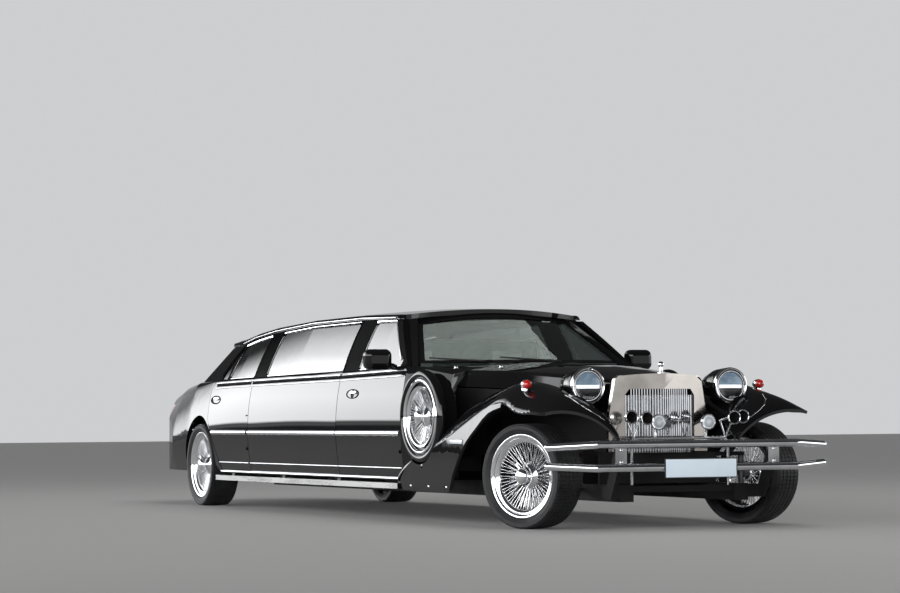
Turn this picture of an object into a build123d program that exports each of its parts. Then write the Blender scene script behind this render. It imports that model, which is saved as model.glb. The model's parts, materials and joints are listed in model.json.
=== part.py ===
from build123d import *
from math import cos, radians, sin
import os

# Stretch limousine in the classic manner: separate wings, side-mounted spare wheels, a tall
# radiator shell and a long saloon body. Millimetres. X points forward, Y to the left, Z up.
# The origin lies on the ground under the middle of the vehicle.

# Driving dimensions
FRONT_AXLE_X = 3510
REAR_AXLE_X = -2897
NOSE_X = 4322             # bumper centre line at the middle
TAIL_X = -4352            # rearmost point of the rear bumper
KINGPIN_Y = 750
WHEEL_OFFSET = 80         # wheel centre outboard of the kingpin
STEER_REST = 23           # front wheels are turned this far to the left as it stands

TYRE_R = 345
TYRE_W = 235
RIM_R = 272
RIM_W = 216
HUB_R = 44
HUB_LEN = (-40, 96)       # hub ends, inboard and outboard of the wheel's middle
SPINDLE_R = 22
FIT = 0.05                # radial running clearance of a shaft in its bore
SEAT = 0.3                # clearance between pieces that rest on each other
SHUT = 8.5                # shut line round a door or lid
HIGH_SHUT = 17            # shut line behind a door's window frame, wider for its swing

SILL_Z = 290
FLOOR_T = 16
WALL = 60                 # door and side wall
UPPER_WALL = 45           # roof, pillars and window frames
GLASS_T = 5
GLASS_SET = 9             # glass lies this far inside the outer skin
WAIST_Z = 620             # height at which the body is widest

FRONT_DOOR_X = (370, 1640)
REAR_DOOR_X = (-2660, -1600)
HINGE_BACK = 14           # hinge axis behind the door's front edge
HINGE_IN = 10             # hinge axis inside the widest skin
HINGE_PIN_R = 4
HINGE_EYE_R = 6.5
HINGE_LEN = 40            # length of one hinge eye

RAIL_Y = 420
RAIL_W = 100
RAIL_Z = (180, SILL_Z - SEAT)
KICK_UP = 245             # rails rise this much over the rear axle
KICK_DEEPER = 30          # the raised length is deeper by this much
rail_low, rail_top = RAIL_Z
kick_low, kick_top = rail_low + KICK_UP - KICK_DEEPER, rail_top + KICK_UP

BOARD_Y = (915, 1000)
BOARD_Z = (228, 268)


# Basic makers

def at(x, pts):
    """Points of a cross-section in the plane at x."""
    return [Vector(x, y, z) for y, z in pts]


def side_prism(points, y0, y1, radius=0):
    """Prism between two y planes from an outline in x and z."""
    face = Face(Wire.make_polygon([(x, 0, z) for x, z in points], close=True))
    if radius:
        face = face.fillet_2d(radius, face.vertices())
    if face.normal_at().Y < 0:
        face = -face
    return Pos(0, y0, 0) * Solid.extrude(face, Vector(0, y1 - y0, 0))


def plan_prism(points, z0, z1):
    """Prism between two heights from an outline in x and y."""
    face = Face(Wire.make_polygon([(x, y, 0) for x, y in points], close=True))
    return Pos(0, 0, z0) * Solid.extrude(face, Vector(0, 0, z1 - z0))


def block(x0, x1, y0, y1, z0, z1):
    """Box between six planes."""
    size = (x1 - x0, y1 - y0, z1 - z0)
    return Pos((x0 + x1) / 2, (y0 + y1) / 2, (z0 + z1) / 2) * Box(*size)


def rod(start, end, radius):
    """Round bar between two points."""
    a, b = Vector(*start), Vector(*end)
    return Plane(origin=a, z_dir=b - a) * Pos(0, 0, (b - a).length / 2) * Cylinder(radius, (b - a).length)


def tube_y(x, z, y0, y1, radius):
    return rod((x, y0, z), (x, y1, z), radius)


def tube_z(x, y, z0, z1, radius):
    return rod((x, y, z0), (x, y, z1), radius)


def both_sides(shape):
    return [shape, mirror(shape, Plane.XZ)]


def solids_of(*shapes):
    """One compound with every solid of the shapes."""
    found = []
    for shape in shapes:
        found += shape.solids()
    return Compound(children=found)


def largest(shape):
    return max(shape.solids(), key=lambda s: s.volume)


def save(shape, name):
    export_step(shape, f"parts/{name}.step")


# Body sides, from the cowl back to the tail
# columns: x, widest half width, belt half width, belt height, window foot half width,
# roof edge half width, roof edge height
BODY = [
    (1760, 968, 914, 1088, 897, 712, 1424),
    (1000, 974, 921, 1077, 903, 728, 1456),
    (370, 978, 926, 1067, 908, 736, 1470),
    (-700, 978, 925, 1058, 908, 733, 1464),
    (-1600, 976, 922, 1050, 902, 720, 1428),
    (-2100, 972, 915, 1045, 893, 706, 1390),
    (-2500, 968, 905, 1040, 884, 690, 1340),
    (-2660, 965, 900, 1035, 878, 672, 1340),
    (-3200, 950, 874, 995, 845, 610, 1340),
    (-3700, 920, 828, 920, 780, 560, 1340),
    (-4400, 840, 725, 810, 700, 500, 1340),
]
# columns: x, roof centre height
ROOF_TOP = [(1760, 1490), (1160, 1530), (700, 1548), (0, 1552), (-700, 1549), (-1600, 1534),
            (-2200, 1508), (-2500, 1488), (-2700, 1466), (-2870, 1430), (-2960, 1398)]


def value(table, x, column):
    """Straight-line value of a table's column at x."""
    for a, b in zip(table, table[1:]):
        if b[0] <= x <= a[0]:
            return a[column] + (b[column] - a[column]) * (x - a[0]) / (b[0] - a[0])
    return (table[0] if x > table[0][0] else table[-1])[column]


def body_row(x):
    return [value(BODY, x, column) for column in range(1, 7)]


def stations(x0, x1, table=BODY):
    """The two ends and every table station between them, from front to back."""
    return [x0] + [row[0] for row in table if x1 < row[0] < x0] + [x1]


def upper_curve(x, depth):
    """Side window line from the belt to the roof edge, this deep inside the skin."""
    w, b, zb, g, e, ez = body_row(x)
    low, high = (g - depth, zb + 14), (e - depth, ez)
    return [low, ((low[0] + high[0]) / 2 + 11, (low[1] + high[1]) / 2 + 6), high]


LOW_Z = SILL_Z + FLOOR_T


def wall_section(x):
    """Closed section of the whole side wall, from the sill up to the roof edge."""
    w, b, zb, g, e, ez = body_row(x)
    out = at(x, upper_curve(x, 0))
    inn = at(x, upper_curve(x, UPPER_WALL))
    side = at(x, [(w - 34, LOW_Z), (w, WAIST_Z), (b, zb)])
    inner = at(x, [(b - WALL, zb - 30), (w - WALL, WAIST_Z), (w - 34 - WALL, LOW_Z)])
    return Wire([ThreePointArc(*side), Line(side[2], out[0]), ThreePointArc(*out), Line(out[2], inn[2]),
                 ThreePointArc(inn[2], inn[1], inn[0]), Line(inn[0], inner[0]), ThreePointArc(*inner),
                 Line(inner[2], side[0])])


def side_wall(x0, x1):
    return Solid.make_loft([wall_section(x) for x in stations(x0, x1)], True)


def pane_section(x):
    out = at(x, upper_curve(x, GLASS_SET))
    inn = at(x, upper_curve(x, GLASS_SET + GLASS_T))
    return Wire([ThreePointArc(*out), Line(out[2], inn[2]), ThreePointArc(inn[2], inn[1], inn[0]), Line(inn[0], out[0])])


def roof_section(x):
    w, b, zb, g, e, ez = body_row(x)
    top = value(ROOF_TOP, x, 1)
    z = ez + SEAT
    right = at(x, [(e + 8, z), (e - 2, z + 22), (e - 44, z + 0.42 * (top - z))])
    left = [Vector(p.X, -p.Y, p.Z) for p in right]
    low = Vector(x, e - UPPER_WALL, z)
    low_left = Vector(x, -low.Y, z)
    return Wire([ThreePointArc(*right), ThreePointArc(right[2], Vector(x, 0, top), left[2]),
                 ThreePointArc(left[2], left[1], left[0]), Line(left[0], low_left),
                 ThreePointArc(low_left, Vector(x, 0, top - UPPER_WALL + 8), low), Line(low, right[0])])


# Outlines on the side of the car, in x and z
def drip_z(x):
    """Height of the roof's lower edge at x."""
    return value(BODY, x, 6)


ARCH_R = 412
ARCH_Z = TYRE_R + 5
front_cut, front_end = FRONT_DOOR_X[0], FRONT_DOOR_X[1]
rear_cut, rear_end = REAR_DOOR_X[0], REAR_DOOR_X[1]
DOOR_LOW_Z = LOW_Z + 10
HIGH_DROP = 7             # front door's top below the roof edge
REAR_DROP = (14, 9)       # rear door's, at its front and rear: it swings back under the falling edge


def front_door_outline(gap, high_gap, drop):
    """Outline of the front door, or of the hole for it, by its gaps."""
    return [(front_end - gap, DOOR_LOW_Z - SHUT + gap), (front_end - gap, 1092 - drop),
            (1050 - drop, 1500 - drop), (front_cut + high_gap, 1500 - drop),
            (front_cut + high_gap, 1050), (front_cut + gap, 1048), (front_cut + gap, DOOR_LOW_Z - SHUT + gap)]


def rear_door_outline(gap, high_gap):
    """Outline of the rear door, which steps over the wheel arch."""
    back = [(-2478 + high_gap, 1500), (-2478 + high_gap, 1330), (-2590 + high_gap, 1045), (rear_cut + gap, 985),
            (rear_cut + gap, 735)]
    arch = [(-2545 + gap, 590), (-2420 + gap, 420), (-2345 + gap, DOOR_LOW_Z - SHUT + gap)]
    return [(rear_end - gap, DOOR_LOW_Z - SHUT + gap), (rear_end - gap, 1500)] + back + arch


def front_glass_outline():
    return [(1540, 1106), (1012, 1437), (655, 1441), (655, 1087)]


def centre_glass_outline():
    return [(352, 1087), (352, 1444), (-640, 1438), (-1372, 1410), (-1372, 1071)]


def rear_glass_outline():
    return [(-1652, 1069), (-1652, 1396), (-2010, 1368), (-2312, 1334), (-2312, 1062)]


def quarter_glass_outline():
    return [(-2352, 1060), (-2352, 1322), (-2425, 1310), (-2512, 1060)]


print("doors", flush=True)
WINDOW_R = 28
windows = {
    "front": side_prism(front_glass_outline(), 500, 1100, WINDOW_R),
    "centre": side_prism(centre_glass_outline(), 500, 1100, WINDOW_R),
    "rear": side_prism(rear_glass_outline(), 500, 1100, WINDOW_R),
    "quarter": side_prism(quarter_glass_outline(), 500, 1100, 14),
}


def pane(outline, radius):
    """Glass that fills a window with the seating clearance all round."""
    face = Face(Wire.make_polygon([(x, 0, z) for x, z in outline], close=True))
    face = face.fillet_2d(radius, face.vertices())
    face = offset(face, -SEAT).faces()[0]
    if face.normal_at().Y < 0:
        face = -face
    prism = Pos(0, 500, 0) * Solid.extrude(face, Vector(0, 600, 0))
    xs = [x for x, z in outline]
    layer = Solid.make_loft([pane_section(x) for x in stations(max(xs) + 5, min(xs) - 5)], True)
    return largest(layer & prism)


CUP_R = 34
HANDLE_DEPTH = 16
skin_y = 962              # side skin near the handles
# columns: door, handle x, handle z
HANDLES = {"front": (669, 911), "rear": (-2480, 890)}


def cup(x, z):
    return Pos(x, skin_y, z) * Rot(90, 0, 0) * Cylinder(CUP_R, 2 * HANDLE_DEPTH)


def hinge_frame(end, outward, end_value, skin_value):
    """Plane on a hinge axis: x towards the fixed side, y outwards, z along the axis."""
    return Plane(origin=end * (end_value - HINGE_BACK) + outward * (skin_value - HINGE_IN),
                 x_dir=end, z_dir=end.cross(outward))


def hinge_fixed(frame, starts):
    """Pins and cranked plates on the fixed side, clear of the skin that swings round them."""
    pieces = []
    for w in starts:
        pin = rod((0, 0, w - 14), (0, 0, w + HINGE_LEN + 14), HINGE_PIN_R)
        for low in (w - 14, w + HINGE_LEN + 6):
            pin = pin + block(-HINGE_PIN_R, HINGE_PIN_R, -30, 0, low, low + 8)
            pin = pin + block(-HINGE_PIN_R, HINGE_BACK + SHUT + 14, -30, -18, low, low + 8)
        pieces.append(frame * pin)
    return pieces


def hinge_pockets(frame, starts, depth):
    """Room in the moving panel for the fixed half of each hinge."""
    return [frame * block(-40, HINGE_BACK + 1, -depth, HINGE_EYE_R - 1, w - 22, w + HINGE_LEN + 22) for w in starts]


def hinge_eyes(frame, starts):
    """Bored eyes with a web back to the moving panel."""
    eyes = []
    for w in starts:
        eye = rod((0, 0, w), (0, 0, w + HINGE_LEN), HINGE_EYE_R)
        eye = eye + block(-50, 0, -5, HINGE_EYE_R - 1, w, w + HINGE_LEN)
        eyes.append(frame * (eye - rod((0, 0, w - 1), (0, 0, w + HINGE_LEN + 1), HINGE_PIN_R + FIT)))
    return eyes


DOOR_HINGES = (500, 700)
FORWARD, REARWARD, UP, LEFT = Vector(1, 0, 0), Vector(-1, 0, 0), Vector(0, 0, 1), Vector(0, 1, 0)


def door_frame(end_x):
    return hinge_frame(FORWARD, LEFT, end_x - SHUT, body_row(end_x)[0])


def make_door(which, wall, outline, end_x, holes):
    door = wall & side_prism(outline, 0, 1100)
    for hole in holes:
        door = door - hole
    x, z = HANDLES[which]
    door = door - cup(x, z)
    for pocket in hinge_pockets(door_frame(end_x), DOOR_HINGES, 90):
        door = door - pocket
    for eye in hinge_eyes(door_frame(end_x), DOOR_HINGES):
        door = door + eye
    return largest(door)


def trim_top(wall, x0, x1, drops):
    """Lower a door's top edge clear of the roof, by the drops at its front and rear."""
    rows = stations(x0, x1)
    points = [(x, drip_z(x) - drops[0] - (drops[1] - drops[0]) * (x0 - x) / (x0 - x1)) for x in rows]
    return wall - side_prism(points + [(x1, 1600), (x0, 1600)], 0, 1100)


front_wall = trim_top(side_wall(front_end - SHUT, front_cut + SHUT), front_end, front_cut,
                      (HIGH_DROP, HIGH_DROP))
front_door = make_door("front", front_wall, front_door_outline(SHUT, HIGH_SHUT, 8), front_end, [windows["front"]])
print("front door", flush=True)
rear_wall = trim_top(side_wall(rear_end - SHUT, rear_cut + SHUT), rear_end, rear_cut, REAR_DROP)
rear_door = make_door("rear", rear_wall, rear_door_outline(SHUT, HIGH_SHUT), rear_end,
                      [windows["rear"], windows["quarter"]])
front_pane = pane(front_glass_outline(), WINDOW_R)
centre_pane = pane(centre_glass_outline(), WINDOW_R)
rear_panes = solids_of(pane(rear_glass_outline(), WINDOW_R), pane(quarter_glass_outline(), 14))

print("panels", flush=True)
side_panel = side_wall(front_cut, rear_end) - windows["centre"]
for piece in hinge_fixed(door_frame(rear_end), DOOR_HINGES):
    side_panel = side_panel + piece
side_panel = largest(side_panel)

# Roof with its front and rear pillars, and the two screens
ROOF_X = (1200, -2960)
HEADER_ARC = [(1060, -640), (1158, 0), (1060, 640)]
roof_xs = sorted(set(stations(*ROOF_X, ROOF_TOP) + stations(*ROOF_X)), reverse=True)
roof = Solid.make_loft([roof_section(x) for x in roof_xs], True)
header_cut = Face(Wire([ThreePointArc(*[(x, y, 0) for x, y in HEADER_ARC]), Line((1060, 640, 0), (1040, 900, 0)),
                        Line((1040, 900, 0), (1500, 900, 0)), Line((1500, 900, 0), (1500, -900, 0)),
                        Line((1500, -900, 0), (1040, -900, 0)), Line((1040, -900, 0), (1060, -640, 0))]))
if header_cut.normal_at().Z < 0:
    header_cut = -header_cut
roof = roof - (Pos(0, 0, 1300) * Solid.extrude(header_cut, Vector(0, 0, 400)))
ROOF_CORNER = [(-2700, 690), (-2840, 656), (-2925, 618), (-2975, 560), (-3100, 560), (-3100, 900), (-2700, 900)]
for corner in both_sides(plan_prism(ROOF_CORNER, 1300, 1700)):
    roof = roof - corner
A_FOOT = [(1606, 866), (1672, 848), (1600, 796), (1556, 826)]
A_HEAD = [(1046, 702), (1112, 612), (1062, 586), (1030, 668)]
C_FOOT = [(-2600, 880), (-3240, 818), (-3400, 660), (-3345, 610), (-3160, 735), (-2600, 826)]
C_HEAD = [(-2478, 690), (-2800, 660), (-2950, 590), (-2940, 530), (-2830, 575), (-2478, 645)]


def grown(points, by):
    """Outline moved outwards from its middle."""
    middle = sum((Vector(*p) for p in points), Vector()) / len(points)
    return [(v.X, v.Y) for v in (Vector(*p) + (Vector(*p) - middle).normalized() * by for p in points)]


def pillar(foot, head, z0, z1):
    low = Wire.make_polygon([(x, y, z0) for x, y in foot], close=True)
    high = Wire.make_polygon([(x, y, z1) for x, y in head], close=True)
    return Solid.make_loft([low, high], True)


a_top = drip_z(1060) + SEAT + 0.5
a_pillar = pillar(A_FOOT, A_HEAD, 1098, a_top)
front_door = largest(front_door - pillar(grown(A_FOOT, 9), grown(A_HEAD, 9), 1098, a_top))
front_door = largest(front_door - block(800, 1700, 0, 1100, a_top - HIGH_DROP - 1, 1600))
c_pillar = pillar(C_FOOT, C_HEAD, 1020, 1340 + SEAT + 0.5)


SCREEN_T = 9              # measured along the plane of each end


def screen(foot, head):
    """Curved glass between two arcs; each is side x, side y, side z, middle x, middle z."""
    wires = []
    for sx, sy, sz, mx, mz in (foot, head):
        inward = Vector(sx - mx, 0, sz - mz).normalized() * SCREEN_T
        out = [Vector(sx, -sy, sz), Vector(mx, 0, mz), Vector(sx, sy, sz)]
        inn = [point + inward for point in out]
        wires.append(Wire([ThreePointArc(*out), Line(out[2], inn[2]), ThreePointArc(*reversed(inn)), Line(inn[0], out[0])]))
    return Solid.make_loft(wires, True)


windscreen = screen((1568, 812, 1120, 1766, 1120), (1060, 596, 1446, 1157, 1496))
rear_window = screen((-3350, 630, 1085, -3500, 1082), (-2946, 520, 1350, -2964, 1388))

# Tail: full-width sections of skin and of the space inside
print("tail", flush=True)
# columns: x, shoulder inset, shoulder rise, top height
TAIL = [(-2345, 30, 12, 1054), (-2660, 34, 14, 1058), (-3200, 75, 52, 1078), (-3700, 120, 100, 1060), (-4400, 150, 130, 985)]


def tail_section(x, inset, rise, top_z, wall, floor):
    w, b, zb, g, e, ez = body_row(x)
    w, b = w - wall, b - wall
    right = at(x, [(w - 34, SILL_Z + floor), (w, WAIST_Z), (b, zb - wall / 3), (b - inset * 0.3, zb + rise * 0.62 - wall * 0.7),
                   (b - inset, zb + rise - wall), (0, top_z - wall)])
    left = [Vector(p.X, -p.Y, p.Z) for p in right]
    return Wire([Line(left[0], right[0]), ThreePointArc(*right[:3]), ThreePointArc(*right[2:5]),
                 ThreePointArc(right[4], right[5], left[4]), ThreePointArc(left[4], left[3], left[2]),
                 ThreePointArc(left[2], left[1], left[0])])


def tail_loft(wall, floor):
    return Solid.make_loft([tail_section(*row, wall, floor) for row in TAIL], True)


def tail_plan(wall):
    """Rounded tail in plan."""
    r = TAIL_X + wall
    right = [(r, 0), (r + 16, 420), (r + 120, 700 - wall * 0.6), (r + 330, 850 - wall), (r + 900, 985 - wall)]
    right = [Vector(x, y, 0) for x, y in right]
    left = [Vector(p.X, -p.Y, 0) for p in right]
    front = [Vector(-2000, 1100, 0), Vector(-2000, -1100, 0)]
    face = Face(Wire([ThreePointArc(left[1], right[0], right[1]), ThreePointArc(*right[1:4]), Line(right[3], right[4]),
                      Line(right[4], front[0]), Line(*front), Line(front[1], left[4]), Line(left[4], left[3]),
                      ThreePointArc(left[3], left[2], left[1])]))
    face = face if face.normal_at().Z > 0 else -face
    return Pos(0, 0, 100) * Solid.extrude(face, Vector(0, 0, 1200))


def tail_profile(wall):
    """Leaning rear face from the side."""
    r = TAIL_X + wall
    face = Face(Wire([Line((r + 46, 0, 200), (r + 8, 0, 520)),
                      ThreePointArc((r + 8, 0, 520), (r + 30, 0, 800), (r + 175, 0, 985 - wall)),
                      Line((r + 175, 0, 985 - wall), (r + 900, 0, 1300)), Line((r + 900, 0, 1300), (-2000, 0, 1300)),
                      Line((-2000, 0, 1300), (-2000, 0, 200)), Line((-2000, 0, 200), (r + 46, 0, 200))]))
    face = face if face.normal_at().Y > 0 else -face
    return Pos(0, -1100, 0) * Solid.extrude(face, Vector(0, 2200, 0))


def tail_form(wall, floor):
    return tail_loft(wall, floor) & tail_plan(wall) & tail_profile(wall)


tail_outer = tail_form(0, 0)
LID_WALL = 34
tail_hollow = tail_form(LID_WALL, FLOOR_T)
print("tail forms", flush=True)
arch_hole = tube_y(REAR_AXLE_X, ARCH_Z, -1100, 1100, ARCH_R)
ARCH_FLARE = 120
REAR_HOUSE_Y = 600
axle_bay = block(REAR_AXLE_X - ARCH_R - 140, REAR_AXLE_X + ARCH_R + ARCH_FLARE, -REAR_HOUSE_Y + 10, REAR_HOUSE_Y - 10, 150, 420)
axle_bay = axle_bay + block(REAR_AXLE_X - ARCH_R - 10, REAR_AXLE_X + ARCH_R + ARCH_FLARE, -860, 860, 150, 420)
arch_low = side_prism([(REAR_AXLE_X - ARCH_R, 150), (REAR_AXLE_X - ARCH_R, ARCH_Z), (REAR_AXLE_X + ARCH_R, ARCH_Z),
                       (REAR_AXLE_X + ARCH_R + ARCH_FLARE, 280), (REAR_AXLE_X + ARCH_R + ARCH_FLARE, 150)], -1100, 1100)
shelf_cut = block(-2960, -2300, -822, 822, 930, 1200)
tail_skin = tail_outer - tail_hollow - shelf_cut
print("tail shell", flush=True)
tail_skin = tail_skin - arch_hole - arch_low - axle_bay
door_hole = side_prism(rear_door_outline(0, 0), 0, 1100)
tail_skin = tail_skin - door_hole - mirror(door_hole, Plane.XZ)
roof = roof + a_pillar + mirror(a_pillar, Plane.XZ)
c_pillar = c_pillar - tail_outer
roof = roof + c_pillar + mirror(c_pillar, Plane.XZ)
roof = largest(roof)
print("roof", flush=True)

BUMPER_TOP_Z = 588
BUMPER_FRONT_X = REAR_AXLE_X - ARCH_R - 120
bumper_zone = block(TAIL_X - 60, BUMPER_FRONT_X, -1100, 1100, 150, BUMPER_TOP_Z)
rear_bumper = largest(tail_skin & bumper_zone)
tail_skin = tail_skin - bumper_zone

LID_HALF = 610
LID_FRONT_X = -3560
LID_LOW_Z = 640
lid_zone = side_prism([(LID_FRONT_X, 1300), (LID_FRONT_X, 900), (-4060, 820), (-4060, LID_LOW_Z),
                       (TAIL_X - 60, LID_LOW_Z), (TAIL_X - 60, 1300)], -LID_HALF, LID_HALF)
lid_hole = side_prism([(LID_FRONT_X + SHUT, 1300), (LID_FRONT_X + SHUT, 880), (-4040, 800),
                       (-4040, LID_LOW_Z - SHUT), (TAIL_X - 60, LID_LOW_Z - SHUT), (TAIL_X - 60, 1300)],
                      -LID_HALF - SHUT, LID_HALF + SHUT)
boot_lid = tail_skin & lid_zone
LID_HINGES = (-190, 150)
lid_frame = hinge_frame(FORWARD, UP, LID_FRONT_X, value(TAIL, LID_FRONT_X, 3) - 2)
for pocket in hinge_pockets(lid_frame, LID_HINGES, 60):
    boot_lid = boot_lid - pocket
for eye in hinge_eyes(lid_frame, LID_HINGES):
    boot_lid = boot_lid + eye
boot_lid = largest(boot_lid)
tail_skin = tail_skin - lid_hole
for piece in hinge_fixed(lid_frame, LID_HINGES):
    tail_skin = tail_skin + piece
print("boot", flush=True)

# Cowl and floor
COWL_X = (1640, 1984)
# columns: x, widest half width, belt half width, belt height, top height
COWL_STATIONS = [(1640, 972, 918, 1086, 1100), (1820, 900, 850, 1075, 1112), (1984, 772, 715, 1035, 1122)]


def cowl_loft(wall, floor):
    wires = []
    for x, side, belt, belt_z, top in COWL_STATIONS:
        w, b, z = side - wall, belt - wall, SILL_Z + floor
        right = at(x, [(w - 34, z), (w, WAIST_Z), (b, belt_z - wall / 3), (b - 30, belt_z + 10 - wall), (0, top - wall)])
        left = [Vector(p.X, -p.Y, p.Z) for p in right]
        wires.append(Wire([Line(left[0], right[0]), ThreePointArc(*right[:3]), Line(right[2], right[3]),
                           ThreePointArc(right[3], right[4], left[3]), Line(left[3], left[2]),
                           ThreePointArc(left[2], left[1], left[0])]))
    return Solid.make_loft(wires, True)


cowl_outer = cowl_loft(0, 0)
cowl = cowl_outer - (cowl_loft(WALL, FLOOR_T) & block(1500, COWL_X[1] - 40, -1000, 1000, 200, 1300))
for piece in hinge_fixed(door_frame(front_end), DOOR_HINGES):
    cowl = cowl + piece + mirror(piece, Plane.XZ)
BONNET_X = (COWL_X[1] + SHUT, 3714)
BONNET_HINGES = (-150, 110)
BONNET_TOP_Z = 1124
bonnet_frame = hinge_frame(REARWARD, UP, -BONNET_X[0], BONNET_TOP_Z - 2)
for piece in hinge_fixed(bonnet_frame, BONNET_HINGES):
    cowl = cowl + piece
roof = largest(roof - cowl_outer)
rear_window = largest(rear_window - roof)
windscreen = largest(windscreen - roof)
cowl = largest(cowl)
FLOOR_X = (REAR_AXLE_X + ARCH_R + ARCH_FLARE + 10, front_end)
floor_rows = []
for x in stations(FLOOR_X[1] - SEAT, FLOOR_X[0]):
    edge = body_row(x)[0] - 34
    floor_rows.append(Wire.make_polygon(at(x, [(-edge + 10, SILL_Z), (edge - 10, SILL_Z), (edge, LOW_Z - SEAT),
                                               (-edge, LOW_Z - SEAT)]), close=True))
floor = Solid.make_loft(floor_rows, True)
tail_skin = tail_skin - block(FLOOR_X[0] - 1, 0, -1100, 1100, 150, LOW_Z + 0.1)
print("cowl and floor", flush=True)

# Raised floor and wheel houses over the rear axle
HOUSE_T = 10
PAN_Z = 560
PAN_X = (REAR_AXLE_X - ARCH_R - 150, REAR_AXLE_X + 555)
pan = block(*PAN_X, -REAR_HOUSE_Y, REAR_HOUSE_Y, PAN_Z, PAN_Z + HOUSE_T)
pan_front = block(PAN_X[1] - HOUSE_T, PAN_X[1], -REAR_HOUSE_Y, REAR_HOUSE_Y, LOW_Z + SEAT, PAN_Z + 1)
pan_rear = block(PAN_X[0], PAN_X[0] + HOUSE_T, -REAR_HOUSE_Y, REAR_HOUSE_Y, LOW_Z + SEAT, PAN_Z + 1)
pan = pan + pan_front + pan_rear
for x in (PAN_X[0], PAN_X[1]):
    for side in (1, -1):
        pan = pan - block(x - 20, x + 20, side * RAIL_Y - 56, side * RAIL_Y + 56, 200, rail_top + KICK_UP + 6)
house = tube_y(REAR_AXLE_X, ARCH_Z, REAR_HOUSE_Y, 850, ARCH_R + HOUSE_T) & block(-4000, 0, 0, 1000, ARCH_Z, 1000)
house = house - tube_y(REAR_AXLE_X, ARCH_Z, REAR_HOUSE_Y + HOUSE_T, 1000, ARCH_R)
house = house - block(REAR_AXLE_X - 90, REAR_AXLE_X + 90, 500, REAR_HOUSE_Y + HOUSE_T + 1, ARCH_Z - 5, ARCH_Z + 110)
rear_floor = pan + house + mirror(house, Plane.XZ)

print("chassis", flush=True)
# Frame rails with the rise over the rear axle
KICK_X = (REAR_AXLE_X - 420, REAR_AXLE_X + 380)
RAIL_REAR_X, RAIL_FRONT_X = -4120, 4120
RAIL_IN, RAIL_OUT = RAIL_Y - RAIL_W / 2, RAIL_Y + RAIL_W / 2
# The rail's lengths, each with a straight top and underside: x, underside and top at both ends
RAIL_LENGTHS = [
    (RAIL_FRONT_X, rail_low, rail_top, KICK_X[1] + 150, rail_low, rail_top),
    (KICK_X[1] + 150, rail_low, rail_top, KICK_X[1], kick_low, kick_top),
    (KICK_X[1], kick_low, kick_top, KICK_X[0], kick_low, kick_top),
    (KICK_X[0], kick_low, kick_top, KICK_X[0] - 120, rail_low + 60, rail_top - SEAT),
    (KICK_X[0] - 120, rail_low + 60, rail_top - SEAT, RAIL_REAR_X, rail_low + 60, rail_top - SEAT),
]
frame_pieces = []
for xa, low_a, top_a, xb, low_b, top_b in RAIL_LENGTHS:
    length = side_prism([(xa, low_a), (xa, top_a), (xb, top_b), (xb, low_b)], RAIL_IN, RAIL_OUT)
    frame_pieces += both_sides(length)
CROSS_X = [4060, 3250, 2560, 1900, 1150, 350, -450, -1250, -2050, -4080]
HIGH_CROSS_X = [REAR_AXLE_X + 330, REAR_AXLE_X - 370]
for x in CROSS_X:
    frame_pieces.append(block(x - 40, x + 40, -RAIL_IN, RAIL_IN, rail_low + 62, rail_top - 10))
for x in HIGH_CROSS_X:
    frame_pieces.append(block(x - 40, x + 40, -RAIL_IN, RAIL_IN, rail_low + KICK_UP + 20, rail_top + KICK_UP - 10))
HORN_Y = 554
frame_pieces += both_sides(block(RAIL_FRONT_X - 60, RAIL_FRONT_X, RAIL_OUT, HORN_Y + 12, rail_low + 20, rail_top - 4))
horn_outline = [(RAIL_FRONT_X, rail_low + 20), (RAIL_FRONT_X, rail_top - 4), (NOSE_X - 60, 560), (NOSE_X - 29, 560),
                (NOSE_X - 29, 400), (RAIL_FRONT_X + 60, rail_low + 20)]
frame_pieces += both_sides(side_prism(horn_outline, HORN_Y - 12, HORN_Y + 12))
frame_solid = Compound(children=frame_pieces)
rails = frame_pieces[:2 * len(RAIL_LENGTHS)]

# Front suspension: two arms each side with bored eyes for the kingpins
ARM_Z = (258, 476)
ARM_T = 26
UPRIGHT_R = 20
PIN_R = 12
arms = None
for side in (1, -1):
    for z in ARM_Z:
        y0, y1 = sorted((side * 300, side * KINGPIN_Y))
        arm = block(FRONT_AXLE_X - 26, FRONT_AXLE_X + 26, y0, y1, z - ARM_T / 2, z + ARM_T / 2)
        arm = arm + tube_z(FRONT_AXLE_X, side * KINGPIN_Y, z - ARM_T / 2, z + ARM_T / 2, 26)
        arm = arm - tube_z(FRONT_AXLE_X, side * KINGPIN_Y, z - 30, z + 30, PIN_R + FIT)
        arms = arm if arms is None else arms + arm
beam = block(FRONT_AXLE_X - 60, FRONT_AXLE_X + 60, -RAIL_Y - 49, RAIL_Y + 49, rail_top + SEAT, rail_top + 50)
tower = block(FRONT_AXLE_X - 50, FRONT_AXLE_X + 50, 300, RAIL_Y + 40, rail_top + 40, ARM_Z[1] + 30)
front_suspension = beam + tower + mirror(tower, Plane.XZ)
for piece in arms.solids():
    front_suspension = front_suspension + piece
for piece in rails[:2]:
    front_suspension = front_suspension - piece
front_suspension = solids_of(*[s for s in front_suspension.solids() if s.volume > 1000])


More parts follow.
